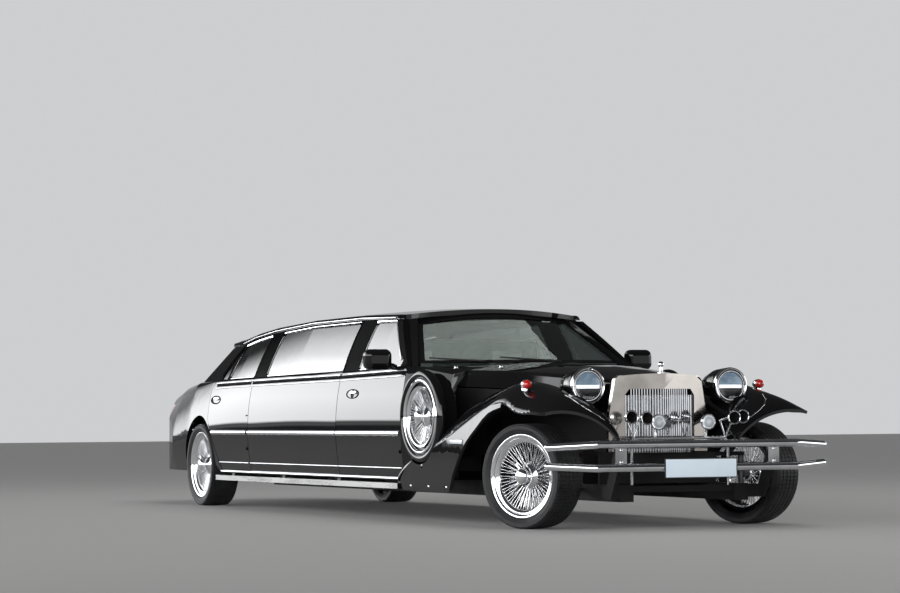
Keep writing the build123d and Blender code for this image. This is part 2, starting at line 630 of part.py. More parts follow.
def knuckle(side):
    """Upright, kingpin and stub axle, turned to the left as the car stands."""
    y = side * KINGPIN_Y
    low, high = ARM_Z[0] + ARM_T / 2 + SEAT, ARM_Z[1] - ARM_T / 2 - SEAT
    body = Cylinder(UPRIGHT_R, high - low)
    body = Pos(0, 0, (low + high) / 2) * body
    body = body + rod((0, 0, ARM_Z[0] - ARM_T / 2), (0, 0, ARM_Z[1] + ARM_T / 2), PIN_R)
    body = body + rod((0, 0, TYRE_R), (0, side * (WHEEL_OFFSET + 44), TYRE_R), SPINDLE_R)
    body = body + rod((0, 0, TYRE_R), (0, side * (WHEEL_OFFSET + HUB_LEN[0] - 0.5), TYRE_R), 34)
    return Pos(FRONT_AXLE_X, y, 0) * Rot(0, 0, STEER_REST) * body


# Rear axle with its differential and stub ends
REAR_TRACK_Y = 832
axle = tube_y(REAR_AXLE_X, TYRE_R, -REAR_TRACK_Y + 78, REAR_TRACK_Y - 78, 44)
axle = axle + tube_y(REAR_AXLE_X, TYRE_R, -REAR_TRACK_Y - 44, REAR_TRACK_Y + 44, SPINDLE_R)
axle = axle + Pos(REAR_AXLE_X, 0, TYRE_R) * Sphere(135)
for side in (1, -1):
    spring = block(REAR_AXLE_X - 45, REAR_AXLE_X + 45, side * RAIL_Y - 45, side * RAIL_Y + 45, TYRE_R + 20,
                   kick_low - SEAT)
    axle = axle + spring

# Propeller shaft under the cross members
SHAFT_Z = rail_low + 30
SHAFT_R = 28
SHAFT_BEND_X = -2300
DIFF_R = 135
shaft = rod((2060, 0, SHAFT_Z), (SHAFT_BEND_X + SEAT, 0, SHAFT_Z), SHAFT_R)
tail_shaft = rod((SHAFT_BEND_X + 60, 0, SHAFT_Z - 15), (-2800, 0, TYRE_R - 10), SHAFT_R)
tail_shaft = tail_shaft - block(SHAFT_BEND_X, 0, -100, 100, 0, 500)
tail_shaft = tail_shaft - (Pos(REAR_AXLE_X, 0, TYRE_R) * Sphere(DIFF_R + SEAT))
tail_shaft = largest(tail_shaft)

# Engine and gearbox as plain blocks at their place
engine = block(2460, 3180, -290, 290, rail_top + SEAT + 50, 860)
engine = engine + block(2480, 3160, -RAIL_Y - 40, RAIL_Y + 40, rail_top + SEAT, rail_top + SEAT + 51)
gearbox = rod((2470, 0, 380), (2015, 0, 333), 150)
shaft = shaft - gearbox
EXHAUST_Y = 250
EXHAUST_R = 30
exhaust_z = rail_low + 62 - EXHAUST_R - SEAT
exhaust = rod((2350, EXHAUST_Y, exhaust_z), (-2300, EXHAUST_Y, exhaust_z), EXHAUST_R)
muffler = rod((-520, EXHAUST_Y, exhaust_z), (-1180, EXHAUST_Y, exhaust_z), 65)


# Wheels: rim, hub, spokes and knock-off nut, made once about the y axis with the face outwards (+y)
print("wheels", flush=True)
SPOKES = 40
RIM_WALL = 7


def ring(profile):
    """Body of revolution about y from an outline of radius and y."""
    face = Face(Wire.make_polygon([(r, y, 0) for r, y in profile], close=True))
    return Solid.revolve(face, 360, Axis.Y)


def make_wheel():
    half = RIM_W / 2
    inner = RIM_R - RIM_WALL
    rim = ring([(RIM_R - 10, -half), (RIM_R - SEAT, -half), (RIM_R - SEAT, half - 4), (RIM_R + 6, half + 4),
                (RIM_R - 2, half + 8), (inner - 18, half - 26), (inner - 18, -half + 30)])
    hub = ring([(SPINDLE_R + FIT, HUB_LEN[0]), (HUB_R, HUB_LEN[0]), (HUB_R, HUB_LEN[1] - 20),
                (30, HUB_LEN[1]), (SPINDLE_R + FIT, HUB_LEN[1])])
    disc = ring([(HUB_R - 2, -34), (150, -34), (150, -18), (HUB_R - 2, -18)])
    cap = ring([(0, HUB_LEN[1] - 44), (24, HUB_LEN[1] - 44 + 0.1), (30, HUB_LEN[1] - 1), (22, HUB_LEN[1] + 10), (0, HUB_LEN[1] + 12)])
    body = rim + hub + disc
    ears = None
    for i in range(3):
        ear = Rot(0, 120 * i, 0) * (Pos(36, HUB_LEN[1] + 1, 0) * Box(62, 9, 17))
        ears = ear if ears is None else ears + ear
    spokes = []
    for i in range(SPOKES):
        turn = 360 / SPOKES * i
        lean = 9 if i % 2 else -9
        y0, y1 = (66, 74) if i % 2 else (14, 60)
        a = Vector((HUB_R - 6) * cos(radians(lean * 2)), y0, (HUB_R - 6) * sin(radians(lean * 2)))
        b = Vector(inner - 12, y1, 0)
        bar = Plane(origin=a, z_dir=b - a) * Pos(0, 0, (b - a).length / 2) * Box(4.6, 4.6, (b - a).length)
        spokes.append(Rot(0, turn, 0) * bar)
    return body.fuse(cap, ears, *spokes)


wheel_solid = make_wheel()
half_w = TYRE_W / 2
tyre_solid = ring([(RIM_R, -half_w + 16), (RIM_R + 40, -half_w), (TYRE_R - 14, -half_w + 8), (TYRE_R, -half_w + 30),
                   (TYRE_R, half_w - 30), (TYRE_R - 14, half_w - 8), (RIM_R + 40, half_w), (RIM_R, half_w - 16)])


def place_wheel(solid, side, front):
    turned = solid if side > 0 else Rot(0, 0, 180) * solid
    if front:
        out = Pos(0, side * WHEEL_OFFSET, 0) * turned
        return Pos(FRONT_AXLE_X, side * KINGPIN_Y, TYRE_R) * Rot(0, 0, STEER_REST) * out
    return Pos(REAR_AXLE_X, side * REAR_TRACK_Y, TYRE_R) * turned


# Front wings
print("wings", flush=True)
# columns: x, inner edge y and z, crown y and z, outer edge y and z
WING_STATIONS = [
    (1625, 905, 300, 960, 303, 1000, 282),
    (1900, 870, 470, 945, 466, 998, 432),
    (2250, 770, 640, 900, 608, 999, 514),
    (2600, 640, 880, 840, 806, 995, 611),
    (2900, 570, 905, 810, 892, 985, 713),
    (3200, 520, 872, 790, 945, 969, 812),
    (3450, 480, 830, 780, 952, 972, 829),
    (3700, 440, 760, 768, 908, 1000, 775),
    (3890, 420, 690, 750, 862, 1000, 768),
    (3990, 415, 630, 740, 812, 988, 762),
    (4045, 430, 575, 735, 762, 962, 760),
]
WING_T = 20


def wing_section(x, yi, zi, yc, zc, yo, zo):
    t = WING_T
    top = at(x, [(yi, zi), (yc, zc), (yo, zo)])
    low = at(x, [(yi, zi - t), (yc, zc - t), (yo - 4, zo - t)])
    return Wire([ThreePointArc(*top), Line(top[2], low[2]), ThreePointArc(*reversed(low)), Line(low[0], top[0])])


wing = Solid.make_loft([wing_section(*row) for row in WING_STATIONS])
SKIRT_T = 22
SKIRT_LOW_Z = 212
# The skirt bulges most at this height and leans in above and below it
BULGE_Z = 488
# columns: x, height of the skirt's upper edge
SKIRT_EDGE = [(1640, 300), (1900, 431), (2250, 513), (2600, 610), (2900, 712), (3200, 811), (3370, 826)]
# The skirt's front edge, round the wheel: x and z from the top down
ARCH_EDGE = [(3370, 798), (3259, 779), (3181, 760), (3102, 722), (2989, 651), (2925, 613), (2843, 561),
             (2761, 489), (2695, 424), (2611, 338), (2543, 252), (2515, SKIRT_LOW_Z)]


def skirt_y(z):
    return 1000 - 0.0003 * (z - BULGE_Z) ** 2


def skirt_section(x, z):
    heights = (z, (z + SKIRT_LOW_Z) / 2, SKIRT_LOW_Z)
    out = at(x, [(skirt_y(h), h) for h in heights])
    inn = at(x, [(skirt_y(h) - SKIRT_T, h) for h in heights])
    return Wire([ThreePointArc(*out), Line(out[2], inn[2]), ThreePointArc(*reversed(inn)), Line(inn[0], out[0])])


skirt = Solid.make_loft([skirt_section(*row) for row in SKIRT_EDGE], True)
skirt = skirt & side_prism(SKIRT_EDGE[:1] + [(1640, 900), (3370, 900)] + ARCH_EDGE + [(1700, 222), (1640, 262)], 900, 1100)
SPARE = (2040, 740)
SPARE_R = 330
SPARE_Y = (815, 1000)
spare_room = rod((SPARE[0], SPARE_Y[0] - 8, SPARE[1]), (SPARE[0], 1200, SPARE[1]), SPARE_R + 6)
wing = (wing + skirt) - spare_room - cowl_outer - block(1500, COWL_X[0], 800, 1100, 200, 400)
wing = largest(wing)

# Side-mounted spare: round cover with a wire wheel face
SPARE_RIM_R = 236
cover = ring([(SPARE_RIM_R + 8, -60), (SPARE_R - 20, -60), (SPARE_R, -42), (SPARE_R, 60), (SPARE_R - 26, 92),
              (SPARE_RIM_R + 20, 100), (SPARE_RIM_R + 8, 92)])
back_plate = ring([(0, -60), (SPARE_RIM_R + 10, -60), (SPARE_RIM_R + 10, -50), (0, -50)])
spare_hub = ring([(0, -55), (40, -55), (40, 50), (26, 76), (0, 80)])
spare = cover + back_plate + spare_hub
spare_spokes = []
for i in range(SPOKES):
    y0, y1 = (44, 62) if i % 2 else (-20, 50)
    a = Vector(36, y0, 8 if i % 2 else -8)
    b = Vector(SPARE_RIM_R + 14, y1, 0)
    bar = Plane(origin=a, z_dir=b - a) * Pos(0, 0, (b - a).length / 2) * Box(4.2, 4.2, (b - a).length)
    spare_spokes.append(Rot(0, 360 / SPOKES * i, 0) * bar)
spare = spare.fuse(*spare_spokes)
spare = Pos(SPARE[0], SPARE_Y[1] - 100, SPARE[1]) * spare
post = rod((SPARE[0], 650, SPARE[1]), (SPARE[0], SPARE_Y[1] - 100 - 55, SPARE[1]), 30)
spare = (spare + post) - cowl_outer
spare = largest(spare)

# Bonnet, bay sides and radiator
print("nose", flush=True)
# columns: x, centre height, crease y and z, side edge y and z
BONNET_STATIONS = [
    (BONNET_X[0], BONNET_TOP_Z, 600, 1062, 690, 950),
    (2300, 1115, 544, 1055, 624, 941),
    (2600, 1104, 490, 1046, 560, 925),
    (2900, 1090, 440, 1033, 501, 894),
    (3200, 1072, 395, 1015, 445, 850),
    (3460, 1046, 354, 997, 399, 807),
    (BONNET_X[1], 1012, 316, 976, 356, 760),
]


def bonnet_loft(t):
    wires = []
    for x, zc, yk, zk, ys, zs in BONNET_STATIONS:
        right = at(x, [(ys - t, zs), (yk + 14 - t, zk - 30), (yk - t, zk - 8 - t * 0.5), (yk - 26 - t, zk + 4 - t)])
        left = [Vector(p.X, -p.Y, p.Z) for p in right]
        wires.append(Wire([
            Line(left[0], right[0]), Line(right[0], right[1]), ThreePointArc(right[1], right[2], right[3]),
            ThreePointArc(right[3], Vector(x, 0, zc - t), left[3]), ThreePointArc(left[3], left[2], left[1]),
            Line(left[1], left[0])]))
    return Solid.make_loft(wires, True)


BONNET_T = 16
bonnet = bonnet_loft(0) - bonnet_loft(BONNET_T)
for pocket in hinge_pockets(bonnet_frame, BONNET_HINGES, 60):
    bonnet = bonnet - pocket
for eye in hinge_eyes(bonnet_frame, BONNET_HINGES):
    bonnet = bonnet + eye
bonnet = largest(bonnet)


def bay_side():
    wires = []
    for x, zc, yk, zk, ys, zs in BONNET_STATIONS:
        pts = at(x, [(ys - 2, zs - SHUT), (ys - 14, zs - SHUT), (ys - 14, 470), (ys - 2, 470)])
        wires.append(Wire.make_polygon(pts, close=True))
    return Solid.make_loft(wires, True)


bay = bay_side() - block(FRONT_AXLE_X - 60, FRONT_AXLE_X + 60, 200, RAIL_Y + 50, 400, ARM_Z[1] + 36)
bay = largest(bay)
wing_left = wing - bay
bay_sides = solids_of(bay, mirror(bay, Plane.XZ))
spare = largest(spare - bay)

SHELL_FRONT = 3838
V_TAN = 80 / 340
shell_face = Face(Wire([
    Line((0, -366, 500), (0, 366, 500)), Line((0, 366, 500), (0, 362, 730)), Line((0, 362, 730), (0, 322, 960)),
    ThreePointArc((0, 322, 960), (0, 306, 992), (0, 270, 1000)),
    ThreePointArc((0, 270, 1000), (0, 0, 1014), (0, -270, 1000)),
    ThreePointArc((0, -270, 1000), (0, -306, 992), (0, -322, 960)), Line((0, -322, 960), (0, -362, 730)),
    Line((0, -362, 730), (0, -366, 500))]))
shell = Pos(3600, 0, 0) * Solid.extrude(shell_face, Vector(400, 0, 0))
shell_plan = [(SHELL_FRONT, 0), (SHELL_FRONT - 380 * V_TAN, 380), (SHELL_FRONT - 380 * V_TAN - 28, 380),
              (SHELL_FRONT - 380 * V_TAN - 28, -380), (SHELL_FRONT - 380 * V_TAN, -380)]
shell = shell & plan_prism(shell_plan, 400, 1100)
OPEN_HALF, OPEN_Z = 256, (500, 912)
opening = Face(Wire.make_polygon([(0, -OPEN_HALF, OPEN_Z[0] - 20), (0, OPEN_HALF, OPEN_Z[0] - 20),
                                  (0, OPEN_HALF, OPEN_Z[1] - 40), (0, OPEN_HALF - 30, OPEN_Z[1]),
                                  (0, -OPEN_HALF + 30, OPEN_Z[1]), (0, -OPEN_HALF, OPEN_Z[1] - 40)], close=True))
shell = shell - (Pos(3500, 0, 0) * extrude(opening, 600, dir=(1, 0, 0)))
radiator_shell = shell

BARS = 28
BAR_W, BAR_D = 7, 16
pitch = 2 * (OPEN_HALF - 6) / BARS
grille_back = SHELL_FRONT - 380 * V_TAN - 26
grille = block(grille_back, grille_back + 8, -OPEN_HALF + SEAT, OPEN_HALF - SEAT, OPEN_Z[0], OPEN_Z[1] - 41)
rail_parts = []
for z in (OPEN_Z[0] + 6, 700, OPEN_Z[1] - 60):
    rail_plan = [(SHELL_FRONT - 40, 0), (SHELL_FRONT - 40 - 250 * V_TAN, 250), (grille_back + 2, 250),
                 (grille_back + 2, -250), (SHELL_FRONT - 40 - 250 * V_TAN, -250)]
    grille = grille + plan_prism(rail_plan, z, z + 6)
for i in range(BARS):
    y = (i - (BARS - 1) / 2) * pitch
    x = SHELL_FRONT - 22 - abs(y) * V_TAN
    top_z = OPEN_Z[1] - SEAT if abs(y) < OPEN_HALF - 34 else OPEN_Z[1] - 42
    rail_parts.append(block(x - BAR_D - 8, x, y - BAR_W / 2, y + BAR_W / 2, OPEN_Z[0] - 8, top_z))
grille = grille.fuse(*rail_parts)
grille = largest(grille)

# Radiator support below the shell down to the frame
support = block(3720, 3748, -430, 430, rail_top + SEAT, 490)
support = support + both_sides(block(3720, 3748, 270, 350, 489, 500 - SEAT))[0] + both_sides(block(3720, 3748, 270, 350, 489, 500 - SEAT))[1]
ornament_base_z = 1013
ornament = rod((3800, 0, ornament_base_z + 1), (3800, 0, ornament_base_z + 60), 12)
ornament = ornament + Pos(3800, 0, ornament_base_z + 60) * Sphere(20)
ornament = ornament - radiator_shell
ornament = largest(ornament + block(3780, 3820, -14, 14, ornament_base_z - 2, ornament_base_z + 8) - radiator_shell)

# Headlamps: bullet shells on pedestals that stand on the wings
LAMP = (3787, 528, 933)
LAMP_R = 118
# columns: distance behind the bezel, radius
LAMP_PROFILE = [(0, 0), (0, 108), (14, 112), (60, LAMP_R), (150, 112), (260, 84), (340, 40), (362, 0)]
lamp_face = Face(Wire.make_polygon([(-x, r, 0) for x, r in LAMP_PROFILE], close=True))
lamp_body = Solid.revolve(lamp_face, 360, Axis.X)
lamp_body = lamp_body - rod((1, 0, 0), (-12, 0, 0), 100)
lamp_left = Pos(*LAMP) * lamp_body
pedestal = block(LAMP[0] - 210, LAMP[0] - 70, LAMP[1] - 26, LAMP[1] + 26, 640, LAMP[2] - 60) - wing_left
pedestal = max(pedestal.solids(), key=lambda s: s.center().Z)
lamp_left = largest((lamp_left + pedestal) - wing_left)
lens_left = Pos(*LAMP) * rod((-12 + SEAT, 0, 0), (4, 0, 0), 100 - SEAT)
lens_left = largest(lens_left - wing_left)

# Marker lamps on the crowns of the wings
# columns: distance behind the lens tip, radius
MARKER_PROFILE = [(0, 0), (3, 12), (11, 22), (26, 28), (44, 29), (70, 26), (104, 15), (124, 0)]
marker_face = Face(Wire.make_polygon([(-x, r, 0) for x, r in MARKER_PROFILE], close=True))
marker = Pos(3600, 867, 956) * Solid.revolve(marker_face, 360, Axis.X)
marker = marker + block(3520, 3570, 853, 881, 860, 950)
marker = marker - wing_left
marker = max(marker.solids(), key=lambda s: s.center().Z)

# Front bumper: two tubes with swept ends, brackets on the frame horns
print("bumpers", flush=True)
BUMP_R = 26
BUMPER_Z = (404, 553)
BUMPER_END_Z = (417, 537)  # the two tubes come nearer to each other at their ends
BUMPER_BEND_Y = 725
BUMPER_END = (147, 1000)   # the swept ends: back from the nose, out from the middle


def bumper_tube(z, end_z):
    """Bent tube with domed ends."""
    back, out = BUMPER_END
    pts = [(NOSE_X - back, -out, end_z), (NOSE_X, -BUMPER_BEND_Y, z), (NOSE_X, BUMPER_BEND_Y, z),
           (NOSE_X - back, out, end_z)]
    path = FilletPolyline(*pts, radius=70)
    tube = sweep(Plane(origin=pts[0], z_dir=path % 0) * Circle(BUMP_R), path=path)
    for end in (pts[0], pts[3]):
        tube = tube + Pos(*end) * Sphere(BUMP_R)
    return tube


front_bumper = bumper_tube(BUMPER_Z[0], BUMPER_END_Z[0]) + bumper_tube(BUMPER_Z[1], BUMPER_END_Z[1])
for side in (1, -1):
    y0, y1 = sorted((side * (HORN_Y - 40), side * (HORN_Y + 40)))
    front_bumper = front_bumper + block(NOSE_X - 29 + SEAT, NOSE_X - 8, y0, y1, BUMPER_Z[0] - 10, BUMPER_Z[1] + 10)
plate = block(NOSE_X + BUMP_R + SEAT, NOSE_X + BUMP_R + 4, -260, 260, 335, 460)

# Lamp bar with fog lamps and horns
bar_x = 4060
bar_path = FilletPolyline((bar_x, -352, rail_top - 10 + SEAT), (bar_x, -352, 590), (bar_x, 352, 590),
                          (bar_x, 352, rail_top - 10 + SEAT), radius=45)
lamp_bar = sweep(Plane(origin=bar_path @ 0, z_dir=bar_path % 0) * Circle(10), path=bar_path)
# columns: distance behind the lens, radius
FOG_PROFILE = [(0, 0), (0, 44), (2, 50), (16, 50), (34, 42), (56, 24), (66, 0)]
fog_face = Face(Wire.make_polygon([(-x, r, 0) for x, r in FOG_PROFILE], close=True))
fog = Solid.revolve(fog_face, 360, Axis.X)
for side in (1, -1):
    lamp_bar = lamp_bar + rod((bar_x, side * 182, 590), (bar_x + 14, side * 182, 650), 9)
    lamp_bar = lamp_bar + Pos(4116, side * 182, 692) * fog
    for y, x, z in ((405, 4174, 727), (317, 4220, 720)):
        horn = Plane(origin=(x, side * y, z), z_dir=(-1, 0, 0)) * (Pos(0, 0, 45) * Cone(42, 12, 90) - Pos(0, 0, 30) * Cone(39, 9, 62))
        horn = horn + rod((x - 85, side * y, z), (bar_x, side * (y - 20), 700), 8)
        horn = horn + rod((bar_x, side * (y - 20), 700), (bar_x, side * 335, 590), 6)
        lamp_bar = lamp_bar + horn
lamp_bar = largest(lamp_bar)

# Running boards with outriggers to the floor
boards = []
board = block(-2330, COWL_X[0] - SEAT, BOARD_Y[0], BOARD_Y[1], BOARD_Z[0], BOARD_Z[1])
for x in (-2100, -900, 300, 1500):
    board = board + block(x - 30, x + 30, 560, BOARD_Y[0] + 10, BOARD_Z[1] - 20, SILL_Z - SEAT)
boards = both_sides(board)

# Cabin furniture
print("cabin", flush=True)
floor_top = SILL_Z + FLOOR_T


def seat_box(x0, x1, y0, y1, z0, z1, r):
    body = block(x0, x1, y0, y1, z0, z1)
    return fillet(body.edges(), r)


def front_seat(y):
    base = block(620, 1080, y - 200, y + 200, floor_top + SEAT, floor_top + 130)
    cushion = seat_box(590, 1110, y - 250, y + 250, floor_top + 120, floor_top + 270, 40)
    back = Pos(640, y, floor_top + 190) * Rot(0, -14, 0) * (Pos(0, 0, 300) * Box(120, 500, 620))
    back = fillet(back.edges(), 40)
    head = Pos(480, y, floor_top + 850) * Rot(0, -10, 0) * Box(90, 270, 200)
    head = fillet(head.edges(), 35)
    posts = rod((510, y - 60, floor_top + 720), (490, y - 60, floor_top + 830), 8)
    posts2 = rod((510, y + 60, floor_top + 720), (490, y + 60, floor_top + 830), 8)
    return base + cushion + back + head + posts + posts2


front_seats = solids_of(front_seat(370), front_seat(-370))
rear_bench = seat_box(PAN_X[1] + 8, -1830, -590, 590, floor_top + SEAT, floor_top + 300, 40)
rear_back = seat_box(PAN_X[1] - 130, PAN_X[1] + 30, -590, 590, floor_top + 270, floor_top + 780, 40)
rear_seats = rear_bench + rear_back
side_bench = seat_box(-1800, -100, -840, -400, floor_top + SEAT, floor_top + 290, 40)
side_back = seat_box(-1800, -100, -840, -720, floor_top + 280, floor_top + 680, 30)
side_seat = side_bench + side_back
partition_half = [(800, floor_top + SEAT), (800, 1000), (690, 1330)]
partition_wire = Wire.make_polygon([(330, y, z) for y, z in partition_half] + [(330, -y, z) for y, z in reversed(partition_half)], close=True)
partition = extrude(Face(partition_wire), 22, dir=(1, 0, 0))
dash = seat_box(1330, 1640, -700, 700, 760, 1030, 40)
dash = dash + block(1600, COWL_X[1] - 40 - SEAT, -600, 600, 800, 900)
steering = Plane(origin=(1290, 370, 900), z_dir=(-cos(radians(28)), 0, sin(radians(28)))) * Torus(185, 14)
hub_disc = Plane(origin=(1290, 370, 900), z_dir=(-cos(radians(28)), 0, sin(radians(28)))) * Cylinder(55, 26)
spoke_bar = Plane(origin=(1290, 370, 900), z_dir=(-cos(radians(28)), 0, sin(radians(28)))) * Box(24, 366, 12)
column = rod((1290, 370, 900), (1290 + 150, 370, 900 - 80), 22)
steering = (steering + hub_disc + spoke_bar + column) - dash
steering = largest(steering)

# Mirrors on the front doors
mirror_head = seat_box(1330, 1452, 945, 1150, 1076, 1226, 48)
mirror_arm = rod((1400, 905, 1092), (1392, 1010, 1130), 22)
mirror_piece = (mirror_head + mirror_arm) - front_door - front_pane
mirror_piece = largest(mirror_piece)

# Tail lamps in the rear corners
tail_lamp_zone = side_prism([(-4020, 700), (-4020, 860), (TAIL_X - 40, 860), (TAIL_X - 40, 700)], LID_HALF + SHUT + 20, 1100)
lamp_left_rear = largest(tail_skin & tail_lamp_zone)
tail_skin = tail_skin - (tail_lamp_zone + mirror(tail_lamp_zone, Plane.XZ))
tail_body = largest(tail_skin)

os.makedirs("parts", exist_ok=True)
print("writing", flush=True)
save(frame_solid, "chassis_frame")
save(front_suspension, "front_suspension")
save(knuckle(1), "knuckle_left")
save(knuckle(-1), "knuckle_right")
save(solids_of(axle, shaft, tail_shaft), "rear_axle")
save(engine + gearbox, "engine")
save(exhaust + muffler, "exhaust")
save(floor, "floor")
save(rear_floor, "rear_floor")
save(roof, "roof")
save(solids_of(*both_sides(side_panel)), "side_panels")
save(tail_body, "tail_body")
save(boot_lid, "boot_lid")
save(rear_bumper, "rear_bumper")
save(cowl, "cowl")
save(front_door, "door_front_left")
save(mirror(front_door, Plane.XZ), "door_front_right")
save(rear_door, "door_rear_left")
save(mirror(rear_door, Plane.XZ), "door_rear_right")
save(front_pane, "glass_front_left")
save(mirror(front_pane, Plane.XZ), "glass_front_right")
save(rear_panes, "glass_rear_left")
save(mirror(rear_panes, Plane.XZ), "glass_rear_right")
save(solids_of(*both_sides(centre_pane)), "glass_centre")
save(windscreen, "windscreen")
save(rear_window, "rear_window")
save(bonnet, "bonnet")
save(solids_of(bay_sides, support), "engine_bay")
save(radiator_shell, "radiator_shell")
save(grille, "grille")
save(ornament, "ornament")
save(solids_of(*both_sides(wing_left)), "front_wings")
save(solids_of(*boards), "running_boards")
save(solids_of(*both_sides(lamp_left)), "headlamps")
save(solids_of(*both_sides(lens_left)), "headlamp_lenses")
save(solids_of(*both_sides(marker)), "marker_lamps")
save(solids_of(*both_sides(spare)), "spare_wheels")
save(front_bumper, "front_bumper")
save(plate, "number_plate")
save(lamp_bar, "lamp_bar")
save(solids_of(*both_sides(lamp_left_rear)), "tail_lamps")
save(front_seats, "front_seats")
save(solids_of(rear_seats, side_seat), "rear_seats")
save(partition, "partition")
save(dash, "dashboard")
save(steering, "steering_wheel")
save(mirror_piece, "mirror_left")
save(mirror(mirror_piece, Plane.XZ), "mirror_right")
for name, side, front in (("front_left", 1, True), ("front_right", -1, True),
                          ("rear_left", 1, False), ("rear_right", -1, False)):
    save(place_wheel(wheel_solid, side, front), f"wheel_{name}")
    save(place_wheel(tyre_solid, side, front), f"tyre_{name}")
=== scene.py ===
# %% [markdown]
# # A long black limousine, dressed step by step
# The sizes and the moving parts come ready made from the CAD model. This notebook gives each
# part its finish and adds what a coachbuilder would fit last: bright trim, lamps, wire wheels,
# tyres with tread, quilted seats and glass. It starts with the frame, because every later
# piece is placed by it.

# %% Load the frame
import bpy
import json
import numpy as np
from math import cos, pi, radians, sin, sqrt
from mathutils import Matrix, Vector
from mathutils.bvhtree import BVHTree


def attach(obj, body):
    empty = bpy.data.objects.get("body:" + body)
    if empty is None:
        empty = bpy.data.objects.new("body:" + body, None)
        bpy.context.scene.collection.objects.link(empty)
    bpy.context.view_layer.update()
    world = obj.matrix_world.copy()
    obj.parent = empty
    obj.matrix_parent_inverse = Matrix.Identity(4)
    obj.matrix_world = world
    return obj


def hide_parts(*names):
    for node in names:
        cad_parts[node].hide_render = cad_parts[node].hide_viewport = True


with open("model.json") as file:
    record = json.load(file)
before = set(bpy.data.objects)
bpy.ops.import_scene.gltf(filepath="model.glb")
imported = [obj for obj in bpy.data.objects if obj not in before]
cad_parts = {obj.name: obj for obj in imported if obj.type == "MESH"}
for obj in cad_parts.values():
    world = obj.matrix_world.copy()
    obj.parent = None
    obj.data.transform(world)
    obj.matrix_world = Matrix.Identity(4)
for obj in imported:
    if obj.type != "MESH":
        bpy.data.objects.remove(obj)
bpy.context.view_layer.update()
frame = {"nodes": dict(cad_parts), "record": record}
nodes = frame["nodes"]
scene = bpy.context.scene
SIDES = ((1, "left"), (-1, "right"))
DOORS = ("door_front_left", "door_front_right", "door_rear_left", "door_rear_right")
CORNERS = ("front_left", "front_right", "rear_left", "rear_right")

# %% [markdown]
# ## The camera
# The photograph was taken from knee height, far ahead of the right front wheel, with a long
# lens. A lens far away flattens the car, so the distance and the focal length are set before
# anything else: every later judgement depends on them. The camera is turned by its
# own three directions rather than by angles, which leaves no doubt about their order.

# %% Camera
CAMERA_AT = Vector((21.812, -9.269, 0.746))
YAW, PITCH, ROLL = radians(156.7), radians(2.226), radians(-0.411)
forward = Vector((cos(PITCH) * cos(YAW), cos(PITCH) * sin(YAW), sin(PITCH)))
right = forward.cross(Vector((0, 0, 1))).normalized()
up = right.cross(forward)
right, up = right * cos(ROLL) + up * sin(ROLL), up * cos(ROLL) - right * sin(ROLL)
camera_data = bpy.data.cameras.new("camera")
camera_data.lens = 122.45
camera_data.sensor_width = 36
camera_data.clip_end = 400
camera = bpy.data.objects.new("camera", camera_data)
scene.collection.objects.link(camera)
turn = Matrix((right, up, -forward)).transposed().to_4x4()
camera.matrix_world = Matrix.Translation(CAMERA_AT) @ turn
scene.camera = camera
scene.view_settings.view_transform = "Standard"
print("camera", [round(v, 2) for v in CAMERA_AT])

# %% [markdown]
# ## Surroundings
# Black gloss paint has almost no colour of its own: what we see on it is the room. The car
# stood under a wide concrete deck, with open bright sky beyond the deck's edge on its right.
# The world here is that place in a few numbers. All round runs a pale band at the horizon
# under a dim ceiling; to the right a far brighter band reaches higher, over a dull strip that
# stands for the far bank. The first gives calm chrome, the second draws the sky along the
# flank and the side glass. Ahead the band is a little different, so the radiator shell isn't
# one white sheet, and on the far side it is bright enough to be seen through the glass.

# %% World
GROUND_LIGHT, CEILING_LIGHT, BAND_LIGHT, SKY_LIGHT, FAR_LIGHT = 0.1, 0.06, 0.62, 7.0, 3.0
world = bpy.data.worlds.new("studio")
scene.world = world
world.use_nodes = True
world.node_tree.nodes.clear()


def add_node(tree, kind, numbers=(), wires=()):
    """New node with the numbers of some sockets set and others wired from a source."""
    made = tree.nodes.new("ShaderNode" + kind)
    for words, number in dict(numbers).items():
        made.inputs[words].default_value = number
    for words, source in dict(wires).items():
        tree.links.new(source, made.inputs[words])
    return made


sky = world.node_tree
direction = add_node(sky, "TexCoord").outputs["Generated"]
split = add_node(sky, "SeparateXYZ", wires={0: direction})
height = add_node(sky, "MapRange", {"From Min": -1}, {"Value": split.outputs["Z"]})


def sky_ramp(rows):
    """Brightness by the sine of the elevation."""
    ramp = add_node(sky, "ValToRGB", wires={0: height.outputs[0]})
    bands = ramp.color_ramp.elements
    while len(bands) < len(rows):
        bands.new(0.5)
    for band, (elevation, light) in zip(bands, rows):
        band.position = (elevation + 1) / 2
        band.color = (light * 0.99, light, light * 1.015, 1)
    return ramp.outputs[0]


